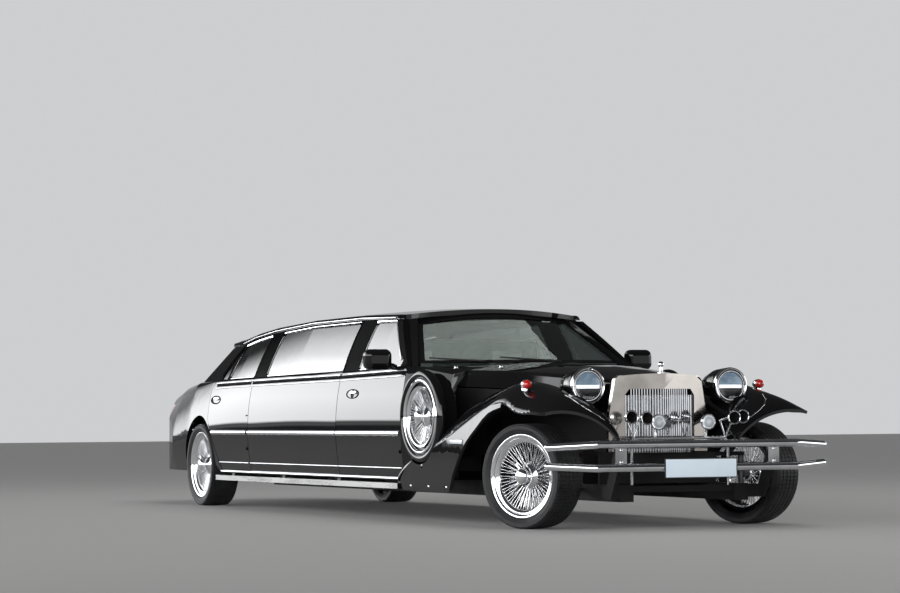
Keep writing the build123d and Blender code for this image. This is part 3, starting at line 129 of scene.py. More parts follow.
# columns: sine of the elevation, brightness
under_deck = sky_ramp([(-1.0, BAND_LIGHT), (0.145, BAND_LIGHT), (0.19, CEILING_LIGHT),
                       (0.6, CEILING_LIGHT * 0.8), (1.0, CEILING_LIGHT * 1.3)])
open_side = sky_ramp([(-1.0, GROUND_LIGHT), (0.0, 0.05), (0.01, 0.06), (0.015, 0.5),
                      (0.026, 0.42), (0.031, SKY_LIGHT * 0.86), (0.11, SKY_LIGHT),
                      (0.2, SKY_LIGHT * 0.9), (0.26, SKY_LIGHT * 0.5), (0.4, SKY_LIGHT * 0.5),
                      (0.45, CEILING_LIGHT), (1.0, CEILING_LIGHT)])
ahead = sky_ramp([(-1.0, BAND_LIGHT), (0.01, 0.9), (0.09, 0.8), (0.14, CEILING_LIGHT),
                  (0.6, CEILING_LIGHT * 0.7), (1.0, CEILING_LIGHT)])
far_side = sky_ramp([(-1.0, BAND_LIGHT), (0.01, FAR_LIGHT * 0.5), (0.05, FAR_LIGHT),
                     (0.24, FAR_LIGHT), (0.32, CEILING_LIGHT), (1.0, CEILING_LIGHT)])


def blend(axis, start, end, first, second):
    """From the first ramp to the second as a direction's component goes from start to end."""
    ease = add_node(sky, "MapRange", {"From Min": start, "From Max": end},
                    {"Value": split.outputs[axis]})
    ease.interpolation_type = "SMOOTHSTEP"
    return add_node(sky, "MixRGB", wires={0: ease.outputs[0], 1: first, 2: second}).outputs[0]


covered = blend("X", 0.05, 0.5, under_deck, ahead)
covered = blend("Y", 0.55, 0.8, covered, far_side)
joined = blend("Y", -0.06, -0.3, covered, open_side)
around = add_node(sky, "Background", wires={"Color": joined})
add_node(sky, "OutputWorld", wires={0: around.outputs[0]})
print("world ready")

# %% [markdown]
# ## Lamps
# Three large soft sources stand where light came from: one to the car's right, where the sky
# was open, one ahead and one above. They are broad, so the shadow is soft. They are hidden
# from glossy rays: the bodywork then mirrors only the sky and no hard rectangle of a lamp.

# %% Lamps
# columns: name, place, point it looks at, length and width, watts
for lamp_name, place, aim, size, power in (
        ("side_light", (2, -13, 6.5), (0, 0, 0.8), (16, 4), 520),
        ("front_light", (15, 3, 6), (2, 0, 0.8), (9, 4), 380),
        ("top_light", (0, 2, 9), (0, 0, 1), (12, 6), 520)):
    light_data = bpy.data.lights.new(lamp_name, "AREA")
    light_data.shape = "RECTANGLE"
    light_data.size, light_data.size_y = size
    light_data.energy = power
    light = bpy.data.objects.new(lamp_name, light_data)
    scene.collection.objects.link(light)
    light.visible_glossy = False
    light.location = place
    light.rotation_mode = "QUATERNION"
    light.rotation_quaternion = (Vector(aim) - Vector(place)).to_track_quat("-Z", "Y")
print("lamps ready")

# %% [markdown]
# ## Finishes
# Every finish is a small network. The pattern always starts from Object coordinates, so it
# stays on the piece when the piece moves. A shared helper makes the shader and gives it the
# plain numbers; each finish then adds the one or two noises that the real surface shows.

# %% A shader to start from
def shader(name, color, roughness, metallic=0.0, **more):
    """A new material with its main numbers set; returns it with its node tree and shader."""
    made = bpy.data.materials.new(name)
    made.use_nodes = True
    bsdf = made.node_tree.nodes["Principled BSDF"]
    numbers = {"Base Color": (*color, 1), "Roughness": roughness, "Metallic": metallic, **more}
    for words, number in numbers.items():
        bsdf.inputs[words.replace("_", " ")].default_value = number
    return made, made.node_tree, bsdf


def noise(tree, scale, detail=3.0, stretch=(1, 1, 1)):
    """Noise on Object coordinates; stretch squeezes it along each axis."""
    place = add_node(tree, "TexCoord").outputs["Object"]
    mapping = add_node(tree, "Mapping", {"Scale": stretch}, {"Vector": place})
    return add_node(tree, "TexNoise", {"Scale": scale, "Detail": detail},
                    {"Vector": mapping.outputs[0]}).outputs["Fac"]


def vary_roughness(tree, bsdf, value, low, high):
    """Roughness from low to high as the value goes from 0.3 to 0.7."""
    spread = add_node(tree, "MapRange", {"From Min": 0.3, "From Max": 0.7, "To Min": low,
                                         "To Max": high}, {"Value": value})
    tree.links.new(spread.outputs[0], bsdf.inputs["Roughness"])


def vary_colour(tree, bsdf, value, first, second, start=0.35, end=0.65):
    """Colour that runs from first to second as the value goes from start to end."""
    tones = add_node(tree, "ValToRGB", wires={0: value})
    for tone, place, color in zip(tones.color_ramp.elements, (start, end), (first, second)):
        tone.position, tone.color = place, (*color, 1)
    tree.links.new(tones.outputs[0], bsdf.inputs["Base Color"])


def relief(tree, bsdf, value, strength, distance):
    """Bump from a value."""
    bump = add_node(tree, "Bump", {"Strength": strength, "Distance": distance},
                    {"Height": value})
    tree.links.new(bump.outputs[0], bsdf.inputs["Normal"])


print("shader helpers ready")

# %% [markdown]
# ## Floor
# A plain pale sheet catches the shadow. Nearly everything in this notebook starts as a
# primitive and is shaped by operators that act on whatever is selected, so small helpers
# clear the selection, change the mode and add a primitive alone.

# %% Floor
def mode(name):
    """Go to EDIT or OBJECT mode."""
    bpy.ops.object.mode_set(mode=name)


def clear_selection():
    """Leave edit mode with nothing selected, because operators act on all that is."""
    if bpy.context.object and bpy.context.object.mode != "OBJECT":
        mode("OBJECT")
    bpy.ops.object.select_all(action="DESELECT")


def primitive(name, add, **options):
    """New primitive alone, with its place, turn and size put into its mesh."""
    clear_selection()
    add(**options)
    piece = bpy.context.object
    piece.name = name
    bpy.ops.object.transform_apply(location=True, rotation=True, scale=True)
    return piece


floor = primitive("studio_floor", bpy.ops.mesh.primitive_plane_add, size=140)
floor.data.materials.append(shader("floor_paint", (0.31, 0.305, 0.3), 0.75)[0])
print("floor ready")

# %% [markdown]
# ## Gloss black paint
# Old black paint under wax is a mirror with a trace of orange peel: tiny waves that soften
# the edges of a reflection. A second, clear coat gives the depth. The roughness wanders a
# little, as wiped dust does, so that no panel looks like plastic.

# %% Paint
def gloss_paint(name, color, coat=0.72):
    """Dark base without shine of its own under a clear coat."""
    made, tree, bsdf = shader(name, color, 0.3, Specular_IOR_Level=0.0, Coat_Weight=coat,
                              Coat_Roughness=0.02, Coat_IOR=1.52)
    vary_roughness(tree, bsdf, noise(tree, 2.2, 5.0), 0.22, 0.38)
    vary_colour(tree, bsdf, noise(tree, 1.1), color, [c * 1.5 + 0.001 for c in color])
    relief(tree, bsdf, noise(tree, 160, 1.0), 0.03, 0.0004)
    return made


paint = gloss_paint("gloss_black_paint", (0.0025, 0.0025, 0.0028))
pillar_black = gloss_paint("pillar_black", (0.003, 0.003, 0.003), 0.02)
print("paints ready")

# %% [markdown]
# ## Bright metals
# Chrome is a metal with almost no roughness; what makes it believable is a faint cloud of
# wear. Stainless steel on the running-board edges is brushed: the noise is stretched along
# the car, which spreads the reflection into soft streaks.

# %% Chrome and steel
def metal(name, color, low, high, scale, stretch=(1, 1, 1), bump=0.0):
    """Metal whose colour and roughness wander with one cloud."""
    made, tree, bsdf = shader(name, color, low, 1.0)
    cloud = noise(tree, scale, 4.0, stretch)
    vary_roughness(tree, bsdf, cloud, low, high)
    vary_colour(tree, bsdf, cloud, color, [c * 0.88 for c in color])
    if bump:
        relief(tree, bsdf, cloud, bump, 0.0006)
    return made


chrome = metal("chrome", (0.8, 0.81, 0.83), 0.03, 0.09, 9)
# The radiator shell's chrome is darker and brown: a painted reflection of the brown-grey concrete
# deck.
shell_chrome_painted_reflection = metal("shell_chrome_painted_reflection", (0.46, 0.43, 0.4), 0.04, 0.16, 7)
wheel_chrome = metal("wheel_chrome", (0.82, 0.83, 0.85), 0.05, 0.12, 14)
brushed = metal("brushed_stainless", (0.46, 0.46, 0.45), 0.22, 0.36, 22, (0.12, 1, 1), 0.03)
bare_steel = metal("machined_steel", (0.34, 0.34, 0.35), 0.3, 0.5, 30)
cast = metal("cast_iron", (0.16, 0.16, 0.16), 0.55, 0.8, 60, (1, 1, 1), 0.3)
print("metals ready")

# %% [markdown]
# ## Glass
# The side windows are tinted so dark that they act as mirrors. The windscreen is clear with
# the green of thick glass, and lamp lenses are clear too. All of them are real transmissive
# glass with the thickness that the CAD gives them.

# %% Glass
def glass(name, color, ior=1.5):
    """Clear glass with faint traces of wiping."""
    made, tree, bsdf = shader(name, color, 0.0, IOR=ior, Transmission_Weight=1.0)
    vary_roughness(tree, bsdf, noise(tree, 3.0, 2.0), 0.0, 0.012)
    return made


windscreen_glass = glass("windscreen_glass", (0.8, 0.9, 0.85))
tinted_glass = glass("tinted_glass", (0.1, 0.11, 0.11), 1.95)
lens_glass = glass("lens_glass", (0.97, 0.98, 1.0))
print("glasses ready")

# %% [markdown]
# ## Rubber, trim and the dark underside
# Tyre rubber is grey black, a little dusty on the sidewall. Chassis paint is satin. Plastic
# trim carries a fine grain, and leather a coarser one. Deep shade is painted shade for the
# inside of cups, horns, headlamp bowls and wheel barrels, where hardly any light comes back.

# %% Rubber and trim
def matte(name, color, second, low, high, scale, grain_scale, grain, shine=0.25):
    """Dull surface between two colours, with a cloud of one scale and a grain of another."""
    made, tree, bsdf = shader(name, color, low, Specular_IOR_Level=shine)
    cloud = noise(tree, scale, 5.0)
    vary_colour(tree, bsdf, cloud, color, second)
    vary_roughness(tree, bsdf, cloud, low, high)
    relief(tree, bsdf, noise(tree, grain_scale, 2.0), grain, 0.0008)
    return made


def grey(value, blue=0.0):
    """Grey with a trace of blue."""
    return value, value, value + blue


rubber = matte("tyre_rubber", grey(0.01, 0.001), grey(0.02, 0.001), 0.42, 0.62, 7, 420, 0.25, 0.2)
chassis_paint = matte("chassis_paint", grey(0.006), grey(0.012), 0.45, 0.65, 5, 150, 0.2, 0.12)
trim = matte("black_trim", grey(0.014, 0.001), grey(0.02, 0.001), 0.38, 0.5, 8, 500, 0.3)
carpet = matte("carpet", (0.03, 0.029, 0.03), (0.055, 0.052, 0.05), 0.9, 1.0, 40, 900, 0.8)
leather = matte("pale_leather", (0.52, 0.56, 0.5), (0.44, 0.48, 0.43), 0.36, 0.5, 6, 260, 0.35)
pleated = matte("quilted_leather", (0.15, 0.19, 0.17), (0.2, 0.25, 0.22), 0.36, 0.5, 6, 260,
                0.35)
# Painted shade: a near black for recesses where shade falls.
shade = matte("deep_shade", grey(0.004), grey(0.008), 0.5, 0.7, 8, 200, 0.1, 0.05)
plate_paint = matte("plate_paint", (0.58, 0.66, 0.72), (0.54, 0.62, 0.68), 0.28, 0.36, 5, 300,
                    0.05)
print("dull finishes ready")

# %% [markdown]
# ## Lamp colours
# A red lamp lens is plastic with ribs moulded inside, and fog lamp glass is fluted in the same
# way. The ribs are a wave in the bump, which breaks the highlight into the fine lines that
# real lenses have. Inside the headlamps a white bar has a faint glow of its own, which is
# painted light, and the upper half of the bowl is blue, which is a painted reflection.

# %% Lamp plastics
def ribbed(name, color, ribs):
    """Lens with moulded ribs under a clear coat."""
    made, tree, bsdf = shader(name, color, 0.12, Coat_Weight=1.0, Coat_Roughness=0.03)
    place = add_node(tree, "TexCoord").outputs["Object"]
    wave = add_node(tree, "TexWave", {"Scale": ribs}, {"Vector": place}).outputs["Fac"]
    vary_colour(tree, bsdf, wave, color, [c * 0.55 for c in color], 0.1, 0.9)
    relief(tree, bsdf, wave, 0.4, 0.001)
    return made


red_lens = ribbed("red_lens", (0.5, 0.012, 0.01), 60)
fluted = ribbed("fluted_glass", (0.66, 0.7, 0.74), 36)
# Painted reflection: the blue of the upper half of the headlamp bowls.
bowl_painted_reflection = matte("bowl_painted_reflection", (0.2, 0.3, 0.4), (0.34, 0.46, 0.56), 0.1, 0.2, 26, 60, 0.1,
                  0.5)
# Painted light: the white headlamp bar has a faint glow of its own.
bar_painted_glow = matte("bar_painted_glow", (0.9, 0.93, 0.96), (0.84, 0.88, 0.94), 0.25, 0.3, 5, 300, 0.05)
painted_glow = bar_painted_glow.node_tree.nodes["Principled BSDF"].inputs
painted_glow["Emission Color"].default_value = (1, 1, 1, 1)
painted_glow["Emission Strength"].default_value = 0.7
print("finishes ready:", len(bpy.data.materials))

# %% [markdown]
# ## Smooth bodywork
# The CAD mesh is made of flat facets, fine for fitting but wrong for a mirror finish. A copy
# of each painted part has its doubled points merged, so that neighbouring facets share their
# points, and is then shaded smooth wherever the surface turns gently. Real edges stay sharp.
# The Weighted Normal modifier lets the large faces decide, so thin facets at a window's corner
# don't smear the reflection.

# %% Smooth copies of the CAD parts
record = frame["record"]
BODY_OF = {name: body for body, names in record["behaviour"]["bodies"].items() for name in names}
SMOOTH_BELOW = radians(20)


def fit(piece, body, finish=None, replaced=None):
    """Fix a piece to its body, with a finish and the CAD node that it stands for."""
    if finish:
        piece.data.materials.clear()
        piece.data.materials.append(finish)
    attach(piece, body)
    if replaced:
        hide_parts(replaced)
    return piece


def take(piece):
    """Select a piece alone, ready for an operator."""
    clear_selection()
    piece.select_set(True)
    bpy.context.view_layer.objects.active = piece


def edit_all():
    """Edit mode with everything selected, point by point."""
    mode("EDIT")
    bpy.ops.mesh.select_mode(type="VERT")
    bpy.ops.mesh.select_all(action="SELECT")


def modified(piece, kind, **settings):
    """Apply a modifier with these settings."""
    change = piece.modifiers.new("change", kind)
    for word, value in settings.items():
        setattr(change, word, value)
    bpy.ops.object.modifier_apply(modifier="change")


def smooth_copy(node, finish):
    """A merged and smoothed copy that stands for a CAD node."""
    piece = bpy.data.objects.new(node + "_skin", nodes[node].data.copy())
    scene.collection.objects.link(piece)
    take(piece)
    edit_all()
    bpy.ops.mesh.remove_doubles(threshold=0.00002)
    mode("OBJECT")
    bpy.ops.object.shade_smooth_by_angle(angle=SMOOTH_BELOW)
    modified(piece, "WEIGHTED_NORMAL", keep_sharp=True, weight=80)
    fit(piece, BODY_OF[node], finish, node)


PAINTED = ("roof", "side_panels", "tail_body", "boot_lid", "rear_bumper", "cowl", "bonnet",
           "front_wings", *DOORS, "headlamps", "mirror_left", "mirror_right", "running_boards")
BRIGHT = ("radiator_shell", "grille", "ornament", "front_bumper", "lamp_bar")
for node in PAINTED:
    smooth_copy(node, paint)
for node in BRIGHT:
    # The radiator shell takes the chrome that has a painted reflection in its colour.
    smooth_copy(node, shell_chrome_painted_reflection if node == "radiator_shell" else chrome)
print("smooth copies:", len(PAINTED) + len(BRIGHT))

# %% [markdown]
# ## Finishes on the other CAD parts
# Parts whose shape is already right keep their own mesh and only take a finish.

# %% Assign finishes
PLAIN = ((chassis_paint, "chassis_frame front_suspension rear_floor engine_bay"),
         (cast, "knuckle_left knuckle_right rear_axle engine"),
         (bare_steel, "exhaust"), (carpet, "floor"), (red_lens, "tail_lamps"),
         (windscreen_glass, "windscreen"), (trim, "dashboard steering_wheel"),
         (leather, "partition"),
         (tinted_glass, "glass_front_left glass_front_right glass_rear_left glass_rear_right "
                        "glass_centre rear_window"))
for finish, names in PLAIN:
    for node in names.split():
        nodes[node].data.materials.clear()
        nodes[node].data.materials.append(finish)
print("finishes assigned:", len(PLAIN))

# %% [markdown]
# ## Turned shapes
# A wheel rim, a hub and a lamp bezel are all turned: one outline carried round an axis. By
# hand this is a circle that is extruded and scaled, ring after ring. The helper does just
# that from a list of radius and height, then merges a closed outline, or closes the tips.

# %% Turning helper
MERGE = 0.00004


def pick(piece, kind, test):
    """Edit mode with only the points (VERT) or faces (FACE) that pass the test selected."""
    mode("EDIT")
    bpy.ops.mesh.select_mode(type=kind)
    bpy.ops.mesh.select_all(action="DESELECT")
    mode("OBJECT")
    for item in piece.data.vertices if kind == "VERT" else piece.data.polygons:
        item.select = test(item)
    mode("EDIT")


def close_up(piece, angle=30):
    """Merge doubles, point the faces outwards and shade smooth below the angle."""
    if piece.mode != "EDIT":
        mode("EDIT")
    bpy.ops.mesh.select_all(action="SELECT")
    bpy.ops.mesh.remove_doubles(threshold=MERGE)
    bpy.ops.mesh.normals_make_consistent(inside=False)
    mode("OBJECT")
    bpy.ops.object.shade_smooth_by_angle(angle=radians(angle))


def extrude_ring(rise):
    """Extrude the selected ring along the axis."""
    bpy.ops.mesh.extrude_edges_move(TRANSFORM_OT_translate={"value": (0, 0, rise)})


def turned(name, outline, steps):
    """Turned piece about the z axis at the origin from radius and height pairs."""
    tip_start, tip_end = outline[0][0] == 0, outline[-1][0] == 0
    rings = outline[tip_start:len(outline) - tip_end]
    radius, z = rings[0]
    piece = primitive(name, bpy.ops.mesh.primitive_circle_add, vertices=steps, radius=radius,
                      location=(0, 0, z))
    edit_all()
    if tip_start:
        extrude_ring(outline[0][1] - z)
        bpy.ops.mesh.merge(type="CENTER")
        pick(piece, "VERT", lambda v: v.co.xy.length > 0.0001)
    for next_radius, next_z in rings[1:]:
        extrude_ring(next_z - z)
        if next_radius != radius:
            factor = next_radius / radius
            bpy.ops.transform.resize(value=(factor, factor, 1), center_override=(0, 0, next_z))
        radius, z = next_radius, next_z
    if tip_end:
        extrude_ring(outline[-1][1] - z)
        bpy.ops.mesh.merge(type="CENTER")
    close_up(piece)
    return piece


def place_mesh(piece, matrix):
    """Move a piece's mesh, so the object itself stays at the origin."""
    piece.data.transform(matrix)
    piece.data.update()
    return piece


def copy_of(piece, name, matrix):
    """A copy with its own mesh, moved by a matrix."""
    twin = bpy.data.objects.new(name, piece.data.copy())
    scene.collection.objects.link(twin)
    return place_mesh(twin, matrix)


def join(name, parts, finish):
    """One object from several, in one finish."""
    clear_selection()
    for part in parts:
        part.data.materials.clear()
        part.data.materials.append(finish)
        part.select_set(True)
    bpy.context.view_layer.objects.active = parts[0]
    bpy.ops.object.join()
    parts[0].name = name
    return parts[0]


def recolour(piece, finish, test):
    """Give the faces that pass the test another finish."""
    piece.data.materials.append(finish)
    index = len(piece.data.materials) - 1
    for face in piece.data.polygons:
        if test(face):
            face.material_index = index


def block(name, size, place, bevel, segments=3):
    """Bevelled block."""
    piece = primitive(name, bpy.ops.mesh.primitive_cube_add, size=1, scale=size)
    edit_all()
    bpy.ops.mesh.bevel(offset=bevel, segments=segments)
    close_up(piece, 40)
    return place_mesh(piece, Matrix.Translation(place))


print("modelling helpers ready")

# %% [markdown]
# ## Wire spokes
# Each spoke is a thin rod with a thicker nipple where it meets the rim. One rod is modelled,
# leaned towards the hub, and then spun about the wheel's axis as duplicates, which is what
# Spin does when its dupli option is on. Two sets lean in turn to the left and to the right,
# so neighbours cross as they do on a laced wheel.

# %% Spoke helper
def rod_between(start, end, radius, end_radius=None):
    """Round rod between two points, as a primitive placed and turned along its line."""
    a, b = Vector(start), Vector(end)
    bar = primitive("rod", bpy.ops.mesh.primitive_cone_add, vertices=8, radius1=radius,
                    radius2=end_radius or radius, depth=(b - a).length)
    bpy.ops.object.shade_smooth_by_angle(angle=radians(50))
    turn = (b - a).to_track_quat("Z", "Y").to_matrix().to_4x4()
    return place_mesh(bar, Matrix.Translation((a + b) / 2) @ turn)


def spun(piece, count):
    """Duplicates of a piece in a full circle about the z axis."""
    take(piece)
    edit_all()
    bpy.ops.mesh.spin(steps=count - 1, dupli=True, angle=2 * pi * (count - 1) / count,
                      center=(0, 0, 0), axis=(0, 0, 1))
    mode("OBJECT")
    return piece


def laced(count, rim_end, hub_end, lean, radius):
    """A set of spokes; rim_end and hub_end are radius and height, lean turns the hub end."""
    sets = []
    for start_angle, hub_angle in ((0, lean), (2 * pi / count, 2 * pi / count - lean)):
        rim, hub = [Vector((reach * cos(angle), reach * sin(angle), z))
                    for (reach, z), angle in ((rim_end, start_angle), (hub_end, hub_angle))]
        bar = rod_between(rim, hub, radius)
        nipple = rod_between(rim, rim.lerp(hub, 0.1), radius * 1.9, radius * 1.2)
        sets.append(spun(join("spokes", [bar, nipple], wheel_chrome), count // 2))
    return join("spokes", sets, wheel_chrome)


print("spoke helpers ready")

# %% [markdown]
# ## The wire wheel
# From outside inwards: a wide bright lip, a dark groove, a second bright ring, the deep
# barrel, sixty outer spokes that run back to a flange on the hub, a second row behind them,
# and a domed knock-off nut with three ears. The bottom of the barrel is painted dark, because
# between the spokes the photograph shows shade there and no bright steel.

# %% Wheel
RIM_OUTLINE = [(0.2716, 0.09), (0.274, 0.098), (0.2758, 0.1015), (0.274, 0.105), (0.268, 0.1055),
               (0.26, 0.1035), (0.253, 0.0985), (0.2508, 0.094), (0.25, 0.088), (0.247, 0.087),
               (0.244, 0.0895), (0.236, 0.0875), (0.227, 0.082), (0.2205, 0.0745), (0.219, 0.068),
               (0.22, 0.05), (0.223, -0.05), (0.233, -0.082), (0.26, -0.102), (0.274, -0.108),
               (0.2716, -0.098), (0.2716, 0.09)]
HUB_OUTLINE = [(0.0226, -0.04), (0.048, -0.04), (0.05, -0.02), (0.078, 0.018), (0.082, 0.026),
               (0.0815, 0.036), (0.076, 0.04), (0.062, 0.046), (0.05, 0.062), (0.046, 0.08),
               (0.0226, 0.082), (0.0226, -0.04)]
NUT_OUTLINE = [(0, 0.084), (0.05, 0.084), (0.0555, 0.088), (0.056, 0.096), (0.053, 0.104),
               (0.048, 0.112), (0.04, 0.119), (0.03, 0.124), (0.016, 0.127), (0, 0.128)]
WHEEL_STEPS = 112
BARREL_RADII, BARREL_TOP, BARREL_FACE_AREA = (0.2185, 0.224), 0.052, 0.00012


def ear():
    """One ear of the knock-off nut: a block whose outer face is drawn in, then bevelled."""
    one = primitive("ear", bpy.ops.mesh.primitive_cube_add, size=1, location=(0.068, 0, 0.097),
                    scale=(0.058, 0.03, 0.013))
    pick(one, "FACE", lambda face: face.normal.x > 0.9)
    bpy.ops.transform.resize(value=(1, 0.34, 0.7), center_override=(0.097, 0, 0.094))
    bpy.ops.mesh.select_all(action="SELECT")
    bpy.ops.mesh.bevel(offset=0.0035, segments=2)
    close_up(one, 40)
    return one


def in_barrel(face):
    """True for a wide face at the bottom of the barrel, which no spoke has."""
    low, high = BARREL_RADII
    return (face.center.z < BARREL_TOP and low < face.center.xy.length < high
            and face.area > BARREL_FACE_AREA)


def make_wheel(outline):
    """Wire wheel on a rim of this outline."""
    parts = [turned("rim", outline, WHEEL_STEPS), turned("hub", HUB_OUTLINE, 48),
             turned("nut", NUT_OUTLINE, 48), spun(ear(), 3),
             laced(60, (0.2195, 0.066), (0.08, 0.031), radians(4), 0.0024),
             laced(40, (0.2215, 0.01), (0.05, -0.022), radians(30), 0.0019)]
    whole = join("wire_wheel", parts, wheel_chrome)
    recolour(whole, shade, in_barrel)
    return whole


wheel = make_wheel(RIM_OUTLINE)
print("wheel", len(wheel.data.polygons), "faces")

# %% [markdown]
# ## The tyre
# A road tyre has a smooth sidewall with a fine raised line, square shoulders cut into lugs,
# and rows of tread blocks. The carcass is turned first; then the faces of the tread are
# inset one by one and lifted, which makes every block with its own tapered walls.

# %% Tyre
TYRE_OUTLINE = [(0.2722, 0.092), (0.278, 0.103), (0.283, 0.109), (0.286, 0.11), (0.296, 0.1165),
                (0.306, 0.12), (0.3075, 0.1208), (0.309, 0.1202), (0.318, 0.1212),
                (0.328, 0.1196), (0.3365, 0.113), (0.339, 0.096), (0.3398, 0.062),
                (0.3398, 0.0555), (0.34, 0.0225), (0.34, 0.016)]
BLOCK_COUNT, BLOCK_HEIGHT, LUG_HEIGHT = 84, 0.0046, 0.003
GROOVE_FACE_AREA = 0.00022


def on_tread(face):
    """True for a face of the tread that isn't a groove."""
    return (face.center.xy.length > 0.3345 and abs(face.center.z) < 0.106
            and face.area > GROOVE_FACE_AREA)


def on_shoulder(face):
    """True for a face of the ring between tread and sidewall."""
    return 0.329 < face.center.xy.length < 0.336 and 0.11 < abs(face.center.z) < 0.119


outline = TYRE_OUTLINE + [(r, -z) for r, z in reversed(TYRE_OUTLINE)] + [TYRE_OUTLINE[0]]
tyre = turned("tyre", outline, BLOCK_COUNT)
pick(tyre, "FACE", on_tread)
bpy.ops.mesh.inset(thickness=0.0021, depth=BLOCK_HEIGHT, use_individual=True)
pick(tyre, "FACE", on_shoulder)
bpy.ops.mesh.inset(thickness=0.0022, depth=LUG_HEIGHT, use_individual=True)
close_up(tyre, 28)
join("tyre", [tyre], rubber)
print("tyre", len(tyre.data.polygons), "faces, radius",
      round(max(v.co.xy.length for v in tyre.data.vertices), 4))

# %% [markdown]
# ## Four wheels on their hubs
# The front pair stands turned to the left, as the car was parked. A wheel is modelled flat
# about z, so each copy gets a matrix whose z direction is the hub's outward direction.

# %% Place the wheels
FRONT_AXLE_X, REAR_AXLE_X, HUB_HEIGHT = 3.51, -2.897, 0.345
KINGPIN_Y, HUB_OFFSET, REAR_HUB_Y, STEER_REST = 0.75, 0.08, 0.832, radians(23)


def upright(middle, out):
    """Matrix that stands a flat turned piece up, with its face looking out."""
    upward = Vector((0, 0, 1))
    turn = Matrix((upward.cross(out), upward, out)).transposed().to_4x4()
    return Matrix.Translation(middle) @ turn


def hub_matrix(corner):
    """Matrix from the flat wheel to a corner of the car."""
    side = 1 if corner.endswith("left") else -1
    if corner.startswith("front"):
        out = Vector((-sin(STEER_REST), cos(STEER_REST), 0)) * side
        return upright(Vector((FRONT_AXLE_X, side * KINGPIN_Y, HUB_HEIGHT)) + out * HUB_OFFSET, out)
    return upright((REAR_AXLE_X, side * REAR_HUB_Y, HUB_HEIGHT), Vector((0, side, 0)))


for corner in CORNERS:
    for part, kind, tag in ((wheel, "wheel_", "_wire"), (tyre, "tyre_", "_tread")):
        node = kind + corner
        piece = copy_of(part, node + tag, hub_matrix(corner))
        fit(piece, "wheel_" + corner, replaced=node)
for part in (tyre, wheel):
    bpy.data.objects.remove(part)
print("wheels placed")

# %% [markdown]
# ## The side-mounted spares
# Each spare sits in a round painted casing sunk into the wing, turned a little to the front.
# From outside inwards its face has a rolled black edge, a wide chrome band, a black step and
# a wire wheel without a lip, which is why the wheel is made once more from a shorter outline.
# Behind the edge the casing steps in to a dull black drum.

# %% Spare wheels
SPARE_X, SPARE_HEIGHT, SPARE_FACE_Y, SPARE_TOE = 2.04, 0.74, 1.0, radians(3)
SPARE_SCALE, SPARE_SINK = 0.87, -0.086
CASING_OUTLINE = [(0, -0.15), (0.302, -0.15), (0.306, -0.062), (0.322, -0.06), (0.3285, -0.05),
                  (0.33, -0.036), (0.327, -0.02), (0.318, -0.008), (0.306, -0.001),
                  (0.292, 0.001), (0.278, -0.003), (0.268, -0.012), (0.264, -0.024),
                  (0.238, -0.026), (0.236, -0.034), (0.22, -0.04), (0.216, -0.1), (0, -0.11)]
BAND_OUTLINE = [(0.2655, -0.02), (0.264, -0.011), (0.259, -0.004), (0.251, -0.001),
                (0.243, -0.004), (0.237, -0.011), (0.235, -0.02), (0.2352, -0.032),
                (0.2655, -0.032), (0.2655, -0.02)]
SPARE_RIM_OUTLINE = [(0.244, 0.0895), (0.236, 0.0875), (0.227, 0.082), (0.2205, 0.0745),
                     (0.219, 0.068), (0.22, 0.05), (0.223, 0.0), (0.247, 0.0), (0.2475, 0.084),
                     (0.244, 0.0895)]


def in_drum(face):
    """True behind the casing's edge and in the well that the wheel stands in."""
    deep, reach = face.center.z, face.center.xy.length
    return deep < -0.06 or (deep < -0.03 and reach < 0.222)


casing = join("casing", [turned("casing", CASING_OUTLINE, WHEEL_STEPS)], paint)
recolour(casing, pillar_black, in_drum)
band = join("band", [turned("band", BAND_OUTLINE, WHEEL_STEPS)], chrome)
sunk = Matrix.Translation((0, 0, SPARE_SINK)) @ Matrix.Diagonal((SPARE_SCALE,) * 3 + (1,))
wire = place_mesh(make_wheel(SPARE_RIM_OUTLINE), sunk)
for side, which in SIDES:
    at = upright((SPARE_X, side * SPARE_FACE_Y, SPARE_HEIGHT),
                 Vector((sin(SPARE_TOE), side * cos(SPARE_TOE), 0)))
    for part, tag in ((casing, "casing"), (band, "band"), (wire, "wire")):
        piece = copy_of(part, "spare_" + tag + "_" + which, at)
        fit(piece, "body", replaced="spare_wheels")
for part in (casing, band, wire):
    bpy.data.objects.remove(part)
print("spares placed")

# %% [markdown]
# ## True reflections in the flanks
# A long panel that curves only gently is cut by the CAD mesher into a few slivers, and a
# mirror finish shows their edges as a torn reflection. The real panel is even, so the outer
# faces are first cut across at regular heights, and then each point gets a normal from one
# smooth curve: how much the panel leans at each height, fitted to the faces' own normals.

# %% Even normals on the flanks
LEVELS = [0.34 + 0.03 * i for i in range(25)]
MIDDLE_HEIGHT, FLANK_INNER_Y, FLANK_TOP = 0.7, 0.8, 1.1


def terms_at(x, z):
    """Powers of height and length that the lean is fitted with."""
    return np.array([z ** 0, z, z ** 2, z ** 3, z ** 4, x, x * z, x * x])


